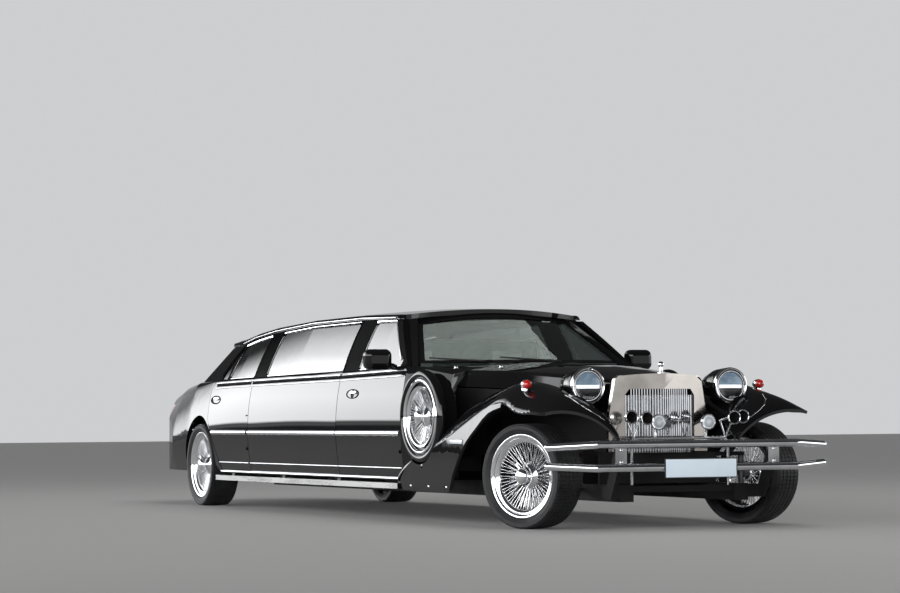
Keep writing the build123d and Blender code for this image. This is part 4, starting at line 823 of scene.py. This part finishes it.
def even_flank(node, side):
    """Cut a flank across at regular heights and give it evenly changing normals."""
    piece = bpy.data.objects[node + "_skin"]
    take(piece)
    mode("EDIT")
    for level in LEVELS:
        bpy.ops.mesh.select_all(action="SELECT")
        bpy.ops.mesh.bisect(plane_co=(0, 0, level), plane_no=(0, 0, 1))
    mode("OBJECT")
    bpy.ops.object.shade_smooth_by_angle(angle=SMOOTH_BELOW)
    mesh = piece.data
    outer = [f for f in mesh.polygons if f.normal.y * side > 0.86
             and f.center.y * side > FLANK_INNER_Y and f.center.z < FLANK_TOP]
    x, z, normal_x, normal_z, area = np.array(
        [(f.center.x, f.center.z - MIDDLE_HEIGHT, f.normal.x, f.normal.z, f.area)
         for f in outer]).T
    terms, weight = terms_at(x, z).T, np.sqrt(area)
    lean_x, lean_z = [np.linalg.lstsq(terms * weight[:, None], lean * weight, rcond=None)[0]
                      for lean in (normal_x, normal_z)]
    normals = [tuple(n.vector) for n in mesh.corner_normals]
    for face in outer:
        for corner in face.loop_indices:
            place = mesh.vertices[mesh.loops[corner].vertex_index].co
            here = terms_at(place.x, place.z - MIDDLE_HEIGHT)
            nx, nz = float(here @ lean_x), float(here @ lean_z)
            normals[corner] = (nx, side * sqrt(max(0.01, 1 - nx * nx - nz * nz)), nz)
    mesh.normals_split_custom_set(normals)
    print(node, len(outer), "faces, mean departure",
          round(float(np.abs(terms @ lean_z - normal_z).mean()), 4))


for node, side in (*zip(DOORS, (1, -1, 1, -1)), ("side_panels", 1), ("side_panels", -1)):
    even_flank(node, side)

# %% [markdown]
# ## Trim that follows the body
# Mouldings are bars pressed against the skin, so their depth can't be typed in: a ray is shot
# at the skin at each station, and the bar follows what it finds. The bar itself is a disc
# squeezed to an oval and extruded from station to station. Only its outer half shows.

# %% Skin rays and mouldings
skins = {}


def skin_y(node, x, z):
    """How far out the skin of a CAD node lies on the left at this x and z."""
    if node not in skins:
        mesh = nodes[node].data
        skins[node] = BVHTree.FromPolygons([v.co for v in mesh.vertices],
                                           [p.vertices for p in mesh.polygons])
    place = skins[node].ray_cast(Vector((x, 2, z)), Vector((0, -1, 0)))[0]
    return place.y if place else None


def along(node, x0, x1, z_at, lift, count=9):
    """Stations on a node's skin from x0 to x1; z_at gives the height at x."""
    rows = []
    for i in range(count):
        x = x0 + (x1 - x0) * i / (count - 1)
        y = skin_y(node, x, z_at(x))
        if y is not None:
            rows.append((x, y + lift, z_at(x)))
    return rows


def moulding(name, rows, depth, half_height):
    """Oval bar through stations, its disc facing along the car."""
    piece = primitive(name, bpy.ops.mesh.primitive_circle_add, vertices=16, radius=1,
                      fill_type="NGON", location=rows[0], rotation=(0, pi / 2, 0))
    edit_all()
    bpy.ops.transform.resize(value=(1, depth, half_height), center_override=rows[0])
    for before, after in zip(rows, rows[1:]):
        step = Vector(after) - Vector(before)
        bpy.ops.mesh.extrude_region_move(TRANSFORM_OT_translate={"value": step})
    close_up(piece, 40)
    return piece


def both(piece, finish, bodies=("body", "body")):
    """Fit a left-hand piece and its mirror image for the right; each adds its side's name."""
    twin = copy_of(piece, piece.name + "_right", Matrix.Diagonal((1, -1, 1, 1)))
    piece.name += "_left"
    twin.data.flip_normals()
    for one, body in zip((piece, twin), bodies):
        fit(one, body, finish)


FIXED, FRONT_DOORS, REAR_DOORS = ("body", "body"), DOORS[:2], DOORS[2:]
# columns: piece of the side, CAD node, bodies, front x, rear x, rear x of the low strip
SIDE_RUNS = [("fd", "door_front_left", FRONT_DOORS, 1.606, 0.382, 0.382),
             ("sp", "side_panels", FIXED, 0.366, -1.594, -1.594),
             ("rd", "door_rear_left", REAR_DOORS, -1.64, -2.53, -2.37)]
# columns: x, height of the belt line
BELT_ROWS = [(1.76, 1.088), (1.0, 1.077), (0.37, 1.067), (-0.7, 1.058), (-1.6, 1.05),
             (-2.1, 1.045), (-2.5, 1.04), (-2.66, 1.035)]


def belt_z(x):
    """Height of the belt line at x."""
    for (xa, za), (xb, zb) in zip(BELT_ROWS, BELT_ROWS[1:]):
        if xb <= x <= xa:
            return za + (zb - za) * (x - xa) / (xb - xa)
    return BELT_ROWS[0][1] if x > 0 else BELT_ROWS[-1][1]


# columns: name, finish, height as a function of x, lift, depth, half height
SIDE_TRIMS = [
    ("flank_moulding", chrome, lambda x: 0.6195, 0.0, 0.013, 0.0195),
    ("low_strip", chrome, lambda x: 0.374, 0.0, 0.006, 0.0046),
    ("belt_upper", chrome, lambda x: belt_z(x) - 0.012, 0.001, 0.008, 0.008),
    ("belt_band", pillar_black, lambda x: belt_z(x) - 0.033, -0.001, 0.004, 0.016),
    ("belt_lower", chrome, lambda x: belt_z(x) - 0.054, 0.0, 0.006, 0.005),
]
for trim_name, finish, z_at, lift, depth, half in SIDE_TRIMS:
    for tag, node, bodies, x0, x1, low_x1 in SIDE_RUNS:
        rows = along(node, x0, low_x1 if trim_name == "low_strip" else x1, z_at, lift)
        both(moulding(trim_name + "_" + tag, rows, depth, half), finish, bodies)
print("mouldings on three panels a side")

# %% [markdown]
# ## Sill cover, board edge and drip rail
# Under the doors a convex stainless cover closes the sill, and the running board has a
# brushed edge. A bright drip rail runs along the roof's edge over all the side glass.

# %% Long straight trims
ROOF_EDGE = [(1.0, 0.728, 1.456), (0.37, 0.736, 1.47), (-0.7, 0.733, 1.464), (-1.6, 0.72, 1.428),
             (-2.1, 0.706, 1.39), (-2.45, 0.693, 1.348)]
SILL_ROWS = [(x, 0.944 if x > -1.6 else 0.94, 0.299)
             for x in (1.63, 0.9, 0.0, -0.8, -1.6, -2.33)]
both(moulding("sill_cover", SILL_ROWS, 0.016, 0.0125), chrome)
drip_rows = [(x, y + 0.01, z + 0.012) for x, y, z in ROOF_EDGE]
both(moulding("drip_rail", drip_rows, 0.006, 0.006), chrome)
boards = bpy.data.objects["running_boards_skin"]
recolour(boards, brushed, lambda f: abs(f.normal.y) > 0.9 and abs(f.center.y) > 0.99)
recolour(boards, trim, lambda f: abs(f.center.y) < 0.93 or f.normal.z < -0.5)
print("long trims ready")

# %% [markdown]
# ## Black pillars
# Above the belt the doors and the side panels are satin black, not gloss. The faces above
# the belt line get that finish; the edge between the two lies under the belt strip.

# %% Pillars
for node in (*DOORS, "side_panels"):
    recolour(bpy.data.objects[node + "_skin"], pillar_black,
             lambda f: f.center.z > belt_z(f.center.x) + 0.004)
print("pillars recoloured")

# %% [markdown]
# ## Door handles
# Each handle is an oval cup with a chrome flap inside. The cup is a squashed turned dish, dark
# with painted shade, that covers the round recess in the CAD door, and the flap a bowed block
# with soft edges. How far the door leans is measured above and below the handle.

# %% Handles
DISH_OUTLINE = [(0.6, -0.005), (0.8, -0.002), (0.9, 0.001), (0.96, 0.0035), (1.0, 0.002),
                (1.02, -0.004)]
DISH_HALF_LENGTH, DISH_HALF_HEIGHT = 0.12, 0.036
PROBE_X, PROBE_Z = 0.06, 0.045
FLAP_SIZE, FLAP_BOW, FLAP_TAPER = (0.13, 0.012, 0.022), 0.007, 0.35


def soften(piece, levels):
    """Round a piece by subdivision."""
    modified(piece, "SUBSURF", levels=levels, render_levels=levels)
    close_up(piece, 60)


def handle_flap(name):
    """A bar with drawn-in ends and soft edges, bowed outwards."""
    flap = primitive(name, bpy.ops.mesh.primitive_cube_add, size=1, scale=FLAP_SIZE)
    edit_all()
    bpy.ops.mesh.subdivide(number_cuts=3)
    mode("OBJECT")
    for v in flap.data.vertices:
        reach = v.co.x / (FLAP_SIZE[0] / 2)
        v.co.y += FLAP_BOW * (1 - reach ** 2)
        v.co.z *= 1 - FLAP_TAPER * reach ** 2
    soften(flap, 2)
    return flap


for doors, x, z, label in ((FRONT_DOORS, 0.669, 0.911, "handle_front"),
                           (REAR_DOORS, -2.48, 0.89, "handle_rear")):
    above, below = [skin_y(doors[0], x + PROBE_X, z + step) for step in (PROBE_Z, -PROBE_Z)]
    out = Vector((0, 1, (below - above) / (2 * PROBE_Z))).normalized()
    onward = Vector((1, 0, 0))
    turn = Matrix((onward, out.cross(onward), out)).transposed().to_4x4()
    face_out = Matrix.Translation((x, (above + below) / 2 + 0.0025, z)) @ turn
    dish = turned(label + "_cup", DISH_OUTLINE, 48)
    pick(dish, "VERT", lambda v: v.co.xy.length < 0.62)
    bpy.ops.mesh.edge_face_add()
    close_up(dish, 40)
    place_mesh(dish, face_out @ Matrix.Diagonal((DISH_HALF_LENGTH, DISH_HALF_HEIGHT, 1, 1)))
    # The cup is painted shade.
    both(dish, shade, doors)
    in_cup = Matrix.Rotation(pi / 2, 4, "X") @ Matrix.Translation((0.012, 0.003, 0.01))
    flap = place_mesh(handle_flap(label + "_flap"), face_out @ in_cup)
    both(flap, chrome, doors)
print("handles ready")

# %% [markdown]
# ## Headlamps
# Each headlamp is a painted bullet with a double chrome bezel: a broad outer ring, a thin
# dark gap and a narrow inner ring. Behind the clear dome lies a bright bar across the middle,
# its faint glow painted light, with a bowl over it in blue painted reflection and one under it
# in painted shade. All of it is turned, apart from the bar.

# %% Headlamps
def facing(place, direction=(1, 0, 0)):
    """Matrix that points a turned piece's z axis in a direction."""
    turn = Vector(direction).to_track_quat("Z", "Y").to_matrix().to_4x4()
    return Matrix.Translation(place) @ turn


def turning(name, outline, steps, at, finish, replaced=None, body="body"):
    """Turned piece in its place, fitted."""
    return fit(place_mesh(turned(name, outline, steps), at), body, finish, replaced)


LAMP_X, LAMP_Y, LAMP_Z = 3.787, 0.528, 0.933
BEZEL_OUTLINE = [(0.1165, -0.034), (0.1205, -0.02), (0.1215, -0.006), (0.119, 0.006),
                 (0.1135, 0.011), (0.108, 0.009), (0.105, 0.002), (0.1045, -0.006),
                 (0.102, -0.007), (0.101, -0.001), (0.098, 0.004), (0.094, 0.004), (0.0915, 0.0),
                 (0.0905, -0.008), (0.099, -0.0115), (0.11, -0.0115), (0.1165, -0.034)]
BOWL_OUTLINE = [(0.099, -0.0105), (0.09, -0.01), (0.06, -0.0108), (0.03, -0.0112), (0, -0.0113)]
DOME_OUTLINE = [(0, 0.012), (0.025, 0.0115), (0.05, 0.0095), (0.072, 0.006), (0.09, 0.0005),
                (0.09, -0.002), (0.05, -0.002), (0, -0.002)]
CAP_OUTLINE = [(0, 0.047), (0.014, 0.045), (0.026, 0.038), (0.034, 0.026), (0.037, 0.01),
               (0.037, -0.03), (0.034, -0.036), (0, -0.038)]
for side, which in SIDES:
    centre = Vector((LAMP_X, side * LAMP_Y, LAMP_Z))
    at = facing(centre)
    turning("headlamp_bezel_" + which, BEZEL_OUTLINE, 72, at, chrome)
    # The lower half of the bowl is painted shade, the upper half a blue painted reflection.
    bowl = turning("headlamp_bowl_" + which, BOWL_OUTLINE, 72, at, shade,
                   "headlamp_lenses")
    recolour(bowl, bowl_painted_reflection, lambda f: f.center.z > LAMP_Z)
    # The bar's faint glow is painted light.
    bar = block("headlamp_bar_" + which, (0.0055, 0.166, 0.022),
                centre + Vector((-0.007, 0, -0.006)), 0.0015)
    fit(bar, "body", bar_painted_glow, "headlamp_lenses")
    turning("headlamp_dome_" + which, DOME_OUTLINE, 72, at, lens_glass,
            "headlamp_lenses")
    turning("headlamp_cap_" + which, CAP_OUTLINE, 40,
            facing((3.452, side * LAMP_Y, 0.948), (-1, 0, 0.1)), chrome)
print("headlamps ready")

# %% [markdown]
# ## Marker lamps
# A red dome in a small chrome bullet sits on the crown of each wing, its tail drawn out
# backwards, on a low foot.

# %% Marker lamps
DOME_RED = [(0, 0.0), (0.01, -0.0015), (0.02, -0.006), (0.027, -0.015), (0.0295, -0.026),
            (0.0295, -0.036), (0.029, -0.037), (0, -0.038)]
MARKER_BACK = [(0.029, -0.034), (0.0315, -0.036), (0.0325, -0.044), (0.031, -0.06),
               (0.0265, -0.08), (0.019, -0.1), (0.01, -0.116), (0, -0.122)]
MARKER_X, MARKER_Y, MARKER_Z = 3.6, 0.867, 0.946
for side, which in SIDES:
    at = facing((MARKER_X, side * MARKER_Y, MARKER_Z))
    turning("marker_dome_" + which, DOME_RED, 40, at, red_lens, "marker_lamps")
    turning("marker_shell_" + which, MARKER_BACK, 40, at, chrome, "marker_lamps")
    foot = block("marker_foot_" + which, (0.06, 0.026, 0.07),
                 (MARKER_X - 0.064, side * MARKER_Y, MARKER_Z - 0.044), 0.008)
    fit(foot, "body", chrome, "marker_lamps")
print("marker lamps ready")

# %% [markdown]
# ## Fog lamps and horns
# The two fog lamps carry clear fluted glass in a chrome rim. The four horns are dark inside
# their bright mouths, so each gets a rolled rim and a throat in painted shade.

# %% Fog lamps and horn mouths
FOG_GLASS = [(0, 0.01), (0.018, 0.009), (0.034, 0.006), (0.044, 0.0005), (0.044, -0.001),
             (0, -0.001)]
FOG_RIM = [(0.0435, 0.0), (0.045, 0.005), (0.049, 0.006), (0.052, 0.002), (0.053, -0.006),
           (0.051, -0.014), (0.0502, -0.016), (0.0435, -0.004), (0.0435, 0.0)]
HORN_RIM = [(0.0385, -0.002), (0.04, 0.003), (0.043, 0.0045), (0.0455, 0.002), (0.046, -0.003),
            (0.043, -0.007), (0.0385, -0.002)]
HORN_THROAT = [(0.0388, -0.003), (0.03, -0.014), (0.02, -0.03), (0.012, -0.045), (0, -0.048)]
HORN_PLACES = [(4.174, 0.405, 0.727), (4.22, 0.317, 0.72)]
for side, which in SIDES:
    at = facing((4.116, side * 0.182, 0.692))
    turning("fog_glass_" + which, FOG_GLASS, 48, at, fluted)
    turning("fog_rim_" + which, FOG_RIM, 48, at, chrome)
    for number, (x, y, z) in enumerate(HORN_PLACES):
        at, label = facing((x, side * y, z)), "%s_%d" % (which, number)
        turning("horn_rim_" + label, HORN_RIM, 40, at, chrome)
        # The throat is painted shade.
        throat = turning("horn_throat_" + label, HORN_THROAT, 40, at, shade)
        throat.data.flip_normals()
print("fog lamps and horns ready")

# %% [markdown]
# ## Small front fittings
# The bumper brackets and the wings' skirts carry round-headed bolts, the plate has a thin
# dark border, and each wing has a thin bright bead at its tip and a repeater lamp.

# %% Front fittings
def bolt(name, place, direction, radius):
    """Domed bolt head."""
    outline = [(radius * r, radius * z) for r, z in
               ((0, 0.55), (0.5, 0.5), (0.85, 0.28), (1, 0), (1, -0.3), (0, -0.4))]
    turning(name, outline, 20, facing(place, direction), chrome)


SKIRT_BOLT_Z = 0.255
for side, which in SIDES:
    for number, z in enumerate((0.44, 0.517)):
        bolt("bracket_bolt_%s_%d" % (which, number), (4.315, side * 0.554, z), (1, 0, 0), 0.011)
    for number, x in enumerate((1.856, 2.176, 2.489)):
        y = skin_y("front_wings", x, SKIRT_BOLT_Z)
        if y:
            bolt("skirt_bolt_%s_%d" % (which, number), (x, side * (y + 0.001), SKIRT_BOLT_Z),
                 (0, side, 0), 0.01)

PLATE_Z = 0.3975
for name, size, x, bevel, finish in (
        ("plate_border", (0.006, 0.524, 0.129), 4.3505, 0.002, trim),
        ("plate_face", (0.003, 0.51, 0.115), 4.3535, 0.001, plate_paint)):
    fit(block(name, size, (x, 0, PLATE_Z), bevel), "body", finish, "number_plate")

BEAD_ROWS = [(3.862, 0.728, 0.874), (3.939, 0.708, 0.842), (3.985, 0.672, 0.803),
             (4.012, 0.615, 0.764), (4.02, 0.573, 0.739), (4.012, 0.52, 0.705),
             (3.99, 0.47, 0.688)]
BEAD_RADIUS = 0.0035
rods = [rod_between(a, b, BEAD_RADIUS) for a, b in zip(BEAD_ROWS, BEAD_ROWS[1:])]
both(join("wing_bead", rods, chrome), chrome)

REPEATER_X, REPEATER_Z = 2.7, 0.567
y = skin_y("front_wings", REPEATER_X, REPEATER_Z) + 0.001
repeater = block("repeater", (0.2, 0.014, 0.03), (REPEATER_X, y, REPEATER_Z), 0.006)
both(repeater, fluted)
print("front fittings ready")

# %% [markdown]
# ## Window surrounds
# A ribbon is a strip with a little thickness between two rows of points: a grid of one cell
# across is made, its points are laid on the rows, and Solidify gives the thickness. The
# windscreen gets a broad black one, which is the band printed on the glass, and each side
# window a narrow chrome one.

# %% Ribbons
def ribbon(name, outer, inner, thickness):
    """Strip between two rows of points."""
    piece = primitive(name, bpy.ops.mesh.primitive_grid_add, x_subdivisions=len(outer) - 1,
                      y_subdivisions=1, size=1)
    order = sorted(piece.data.vertices, key=lambda v: (round(v.co.y, 3), v.co.x))
    for v, place in zip(order, list(inner) + list(outer)):
        v.co = place
    modified(piece, "SOLIDIFY", thickness=thickness, offset=0)
    close_up(piece, 35)
    return piece


def screen_point(u, v, lift):
    """Point on the windscreen: u from right -1 to left 1, v from foot 0 to head 1."""
    bow = 1 - u * u
    foot = Vector((1.568 + 0.198 * bow, 0.812 * u, 1.12))
    head = Vector((1.06 + 0.097 * bow, 0.596 * u, 1.446 + 0.05 * bow))
    return foot.lerp(head, v) + Vector((0.52, 0.2 * u, 0.83)) * lift


BAND_STEPS, BAND_LIFT, BAND_THICKNESS = 24, 0.004, 0.003
shares = [i / BAND_STEPS for i in range(BAND_STEPS + 1)]
edges = [[[(2 * t - 1, v) for t in shares] for v in pair] for pair in ((1.03, 0.9), (0.0, 0.055))]
edges += [[[(side * u, t) for t in shares] for u in (1.04, 0.935)] for side in (1, -1)]
bands = [ribbon("band", *[[screen_point(u, v, BAND_LIFT) for u, v in row] for row in pair],
                BAND_THICKNESS) for pair in edges]
fit(join("screen_surround", bands, paint), "body")

# columns: name, CAD node of the glass, bodies, corners as x and z
WINDOWS = [
    ("glass_front", "glass_front_left", FRONT_DOORS,
     [(1.474, 1.106), (1.012, 1.437), (0.655, 1.441), (0.655, 1.09)]),
    ("glass_centre", "glass_centre", FIXED,
     [(0.352, 1.08), (0.352, 1.444), (-0.64, 1.438), (-1.372, 1.41), (-1.372, 1.073)]),
    ("glass_rear", "glass_rear_left", REAR_DOORS,
     [(-1.652, 1.069), (-1.652, 1.396), (-2.01, 1.368), (-2.312, 1.334), (-2.312, 1.062)])]
FRAME_WIDTH, FRAME_STATIONS, GLASS_LEAN, GLASS_Y = 0.012, 10, 0.33, 0.85


def glass_y(node, base, normal):
    """How far out the glass lies at its edge, measured a little way in from the edge."""
    for pull in (0.01, 0.03, 0.06):
        probe = base - normal * pull
        y = skin_y(node, probe.x, probe.y)
        if y:
            break
    return (y or GLASS_Y) + GLASS_LEAN * (probe.y - base.y) + 0.002


for label, node, bodies, corners in WINDOWS:
    corners = [Vector(corner) for corner in corners]
    middle = sum(corners, Vector((0, 0))) / len(corners)
    inner, outer = [], []
    for start, end in zip(corners, corners[1:] + corners[:1]):
        span = end - start
        normal = Vector((span.y, -span.x)).normalized()
        if normal.dot((start + end) / 2 - middle) < 0:
            normal = -normal
        for step in range(FRAME_STATIONS):
            base = start + span * (0.02 + 0.96 * step / (FRAME_STATIONS - 1))
            y = glass_y(node, base, normal)
            inner.append((base.x - normal.x * 0.002, y, base.y - normal.y * 0.002))
            edge = base + normal * FRAME_WIDTH
            outer.append((edge.x, y - GLASS_LEAN * (edge.y - base.y) + 0.001, edge.y))
    strip = ribbon(label + "_frame", outer + outer[:1], inner + inner[:1], 0.004)
    both(strip, chrome, bodies)
print("surrounds ready")

# %% [markdown]
# ## Wipers and jets
# Two wipers rest along the foot of the screen. Each is an arm and a blade, both bevelled
# blocks along a line. The four washer jets are small chrome turnings.

# %% Wipers and small top fittings
def wiper_bar(name, a, b, width, height):
    """Bevelled bar between two points."""
    piece = block(name, ((b - a).length, width, height), (0, 0, 0), min(width, height) * 0.25, 2)
    turn = (b - a).to_track_quat("X", "Z").to_matrix().to_4x4()
    fit(place_mesh(piece, Matrix.Translation((a + b) / 2) @ turn), "body", trim)


WIPER_LIFT = 0.014
for number, (foot_u, tip_u) in enumerate(((-0.42, -0.9), (0.3, -0.28))):
    foot, tip = screen_point(foot_u, 0.01, WIPER_LIFT), screen_point(tip_u, 0.085, WIPER_LIFT)
    wiper_bar("wiper_arm_%d" % number, foot, foot.lerp(tip, 0.62), 0.014, 0.008)
    wiper_bar("wiper_blade_%d" % number, foot.lerp(tip, 0.06), tip, 0.01, 0.012)
JET_OUTLINE = [(0, 0.017), (0.007, 0.015), (0.011, 0.008), (0.012, 0.0), (0.016, -0.002),
               (0.017, -0.006), (0, -0.008)]
for number, (place, body) in enumerate((((1.886, -0.645, 1.085), "body"),
                                        ((2.188, -0.431, 1.084), "bonnet"),
                                        ((1.886, 0.645, 1.085), "body"),
                                        ((2.188, 0.431, 1.084), "bonnet"))):
    turning("jet_%d" % number, JET_OUTLINE, 24, Matrix.Translation(place), chrome,
            body=body)
print("small fittings ready")

# %% [markdown]
# ## Seats
# The seats are pale leather over foam. A cushion is a block with many cells whose points are
# drawn in towards the corners and crowned in the middle, then rounded by subdivision. Sewn
# channels are rows of points pushed in. A cushion that is made this way needs no cloth
# simulation, and it stays inside the space that the CAD seat keeps for it.

# %% Cushions
CROWN, PAD_FILL, CHANNEL_WIDTH, CHANNEL_DEPTH = 0.16, 0.6, 0.16, 0.1


def cushion(name, lo, hi, channels, along_axis, replaced):
    """Crowned pad in a box; channels are sewn lines across one of its two wide directions."""
    lo, hi = Vector(lo), Vector(hi)
    half, middle = (hi - lo) / 2, (hi + lo) / 2
    pad = primitive(name, bpy.ops.mesh.primitive_cube_add, size=2)
    edit_all()
    bpy.ops.mesh.subdivide(number_cuts=15)
    mode("OBJECT")
    thin = min(range(3), key=lambda i: half[i])
    wide = [i for i in range(3) if i != thin]
    for v in pad.data.vertices:
        a, b = v.co[wide[0]], v.co[wide[1]]
        corners_in = 1 - CROWN * 2.2 * (a ** 6 + b ** 6) / 2
        v.co[thin] *= corners_in * (1 - CROWN * (a * a + b * b) / 2)
        for i in wide:
            v.co[i] *= 1 - 0.05 * abs(v.co[thin]) ** 3
        if channels:
            phase = (v.co[wide[along_axis]] + 1) / 2 * channels
            if abs(phase - round(phase)) < CHANNEL_WIDTH and max(abs(a), abs(b)) < 0.9:
                v.co[thin] *= 1 - CHANNEL_DEPTH
    soften(pad, 1)
    place_mesh(pad, Matrix.Translation(middle) @ Matrix.Diagonal((*half, 1)))
    fit(pad, "body", leather, replaced)


def seat_box(name, size, place, node):
    """Dark box under a seat."""
    fit(block(name, size, place, 0.012), "body", trim, node)


# columns: name, lowest corner, highest corner, channels, wide direction they divide
FRONT_PADS = [("seat_cushion", (0.6, 0.13, 0.44), (1.104, 0.612, 0.59), 5, 1),
              ("seat_back", (0.52, 0.14, 0.56), (0.66, 0.604, 1.06), 5, 1),
              ("head_rest", (0.44, 0.25, 1.08), (0.55, 0.49, 1.24), 0, 0)]
REAR_PADS = [("bench_cushion", (-2.334, -0.59, 0.42), (-1.83, 0.59, 0.606), 6, 1),
             ("bench_back", (-2.472, -0.59, 0.59), (-2.33, 0.59, 1.08), 6, 1),
             ("side_cushion", (-1.8, -0.84, 0.42), (-0.1, -0.4, 0.596), 9, 0),
             ("side_back", (-1.8, -0.84, 0.596), (-0.1, -0.72, 0.986), 9, 0)]
for side, which in SIDES:
    for label, lo, hi, channels, axis in FRONT_PADS:
        y0, y1 = sorted((side * lo[1], side * hi[1]))
        cushion(label + "_" + which, (lo[0], y0, lo[2]), (hi[0], y1, hi[2]), channels, axis,
                "front_seats")
    seat_box("seat_base_" + which, (0.44, 0.44, 0.134), (0.85, side * 0.371, 0.373),
             "front_seats")
for label, lo, hi, channels, axis in REAR_PADS:
    cushion(label, lo, hi, channels, axis, "rear_seats")
seat_box("bench_box", (0.48, 1.16, 0.114), (-2.08, 0, 0.363), "rear_seats")
seat_box("side_box", (1.69, 0.42, 0.114), (-0.95, -0.622, 0.363), "rear_seats")
print("seats padded")

# %% [markdown]
# ## Quilted partition
# Behind the front seats the partition is quilted in diamonds. A fine grid is laid over it,
# and each point stands out by the product of two waves along the diagonals, which is lowest
# along the stitched lines and highest in the middle of each diamond.

# %% Quilting
QUILT_X, QUILT_HALF_WIDTH, QUILT_FOOT, QUILT_HEAD = 0.3585, 0.7, 0.33, 1.31
DIAMOND, PUFF, QUILT_THICKNESS, QUILT_FILL = 0.105, 0.014, 0.006, 0.5
quilt = primitive("partition_quilt", bpy.ops.mesh.primitive_grid_add, x_subdivisions=150,
                  y_subdivisions=70, size=2)
for v in quilt.data.vertices:
    y = v.co.x * QUILT_HALF_WIDTH
    z = (QUILT_FOOT + QUILT_HEAD) / 2 + v.co.y * (QUILT_HEAD - QUILT_FOOT) / 2
    waves = abs(sin(pi * (y + z) / DIAMOND) * sin(pi * (y - z) / DIAMOND))
    shoulder = max(0, min(1, (QUILT_HEAD - z) / 0.08, (QUILT_HALF_WIDTH - abs(y)) / 0.05))
    v.co = (QUILT_X + PUFF * waves ** 0.45 * shoulder, y, z)
modified(quilt, "SOLIDIFY", thickness=QUILT_THICKNESS, offset=1)
close_up(quilt, 60)
fit(quilt, "body", pleated)
print("partition quilted")
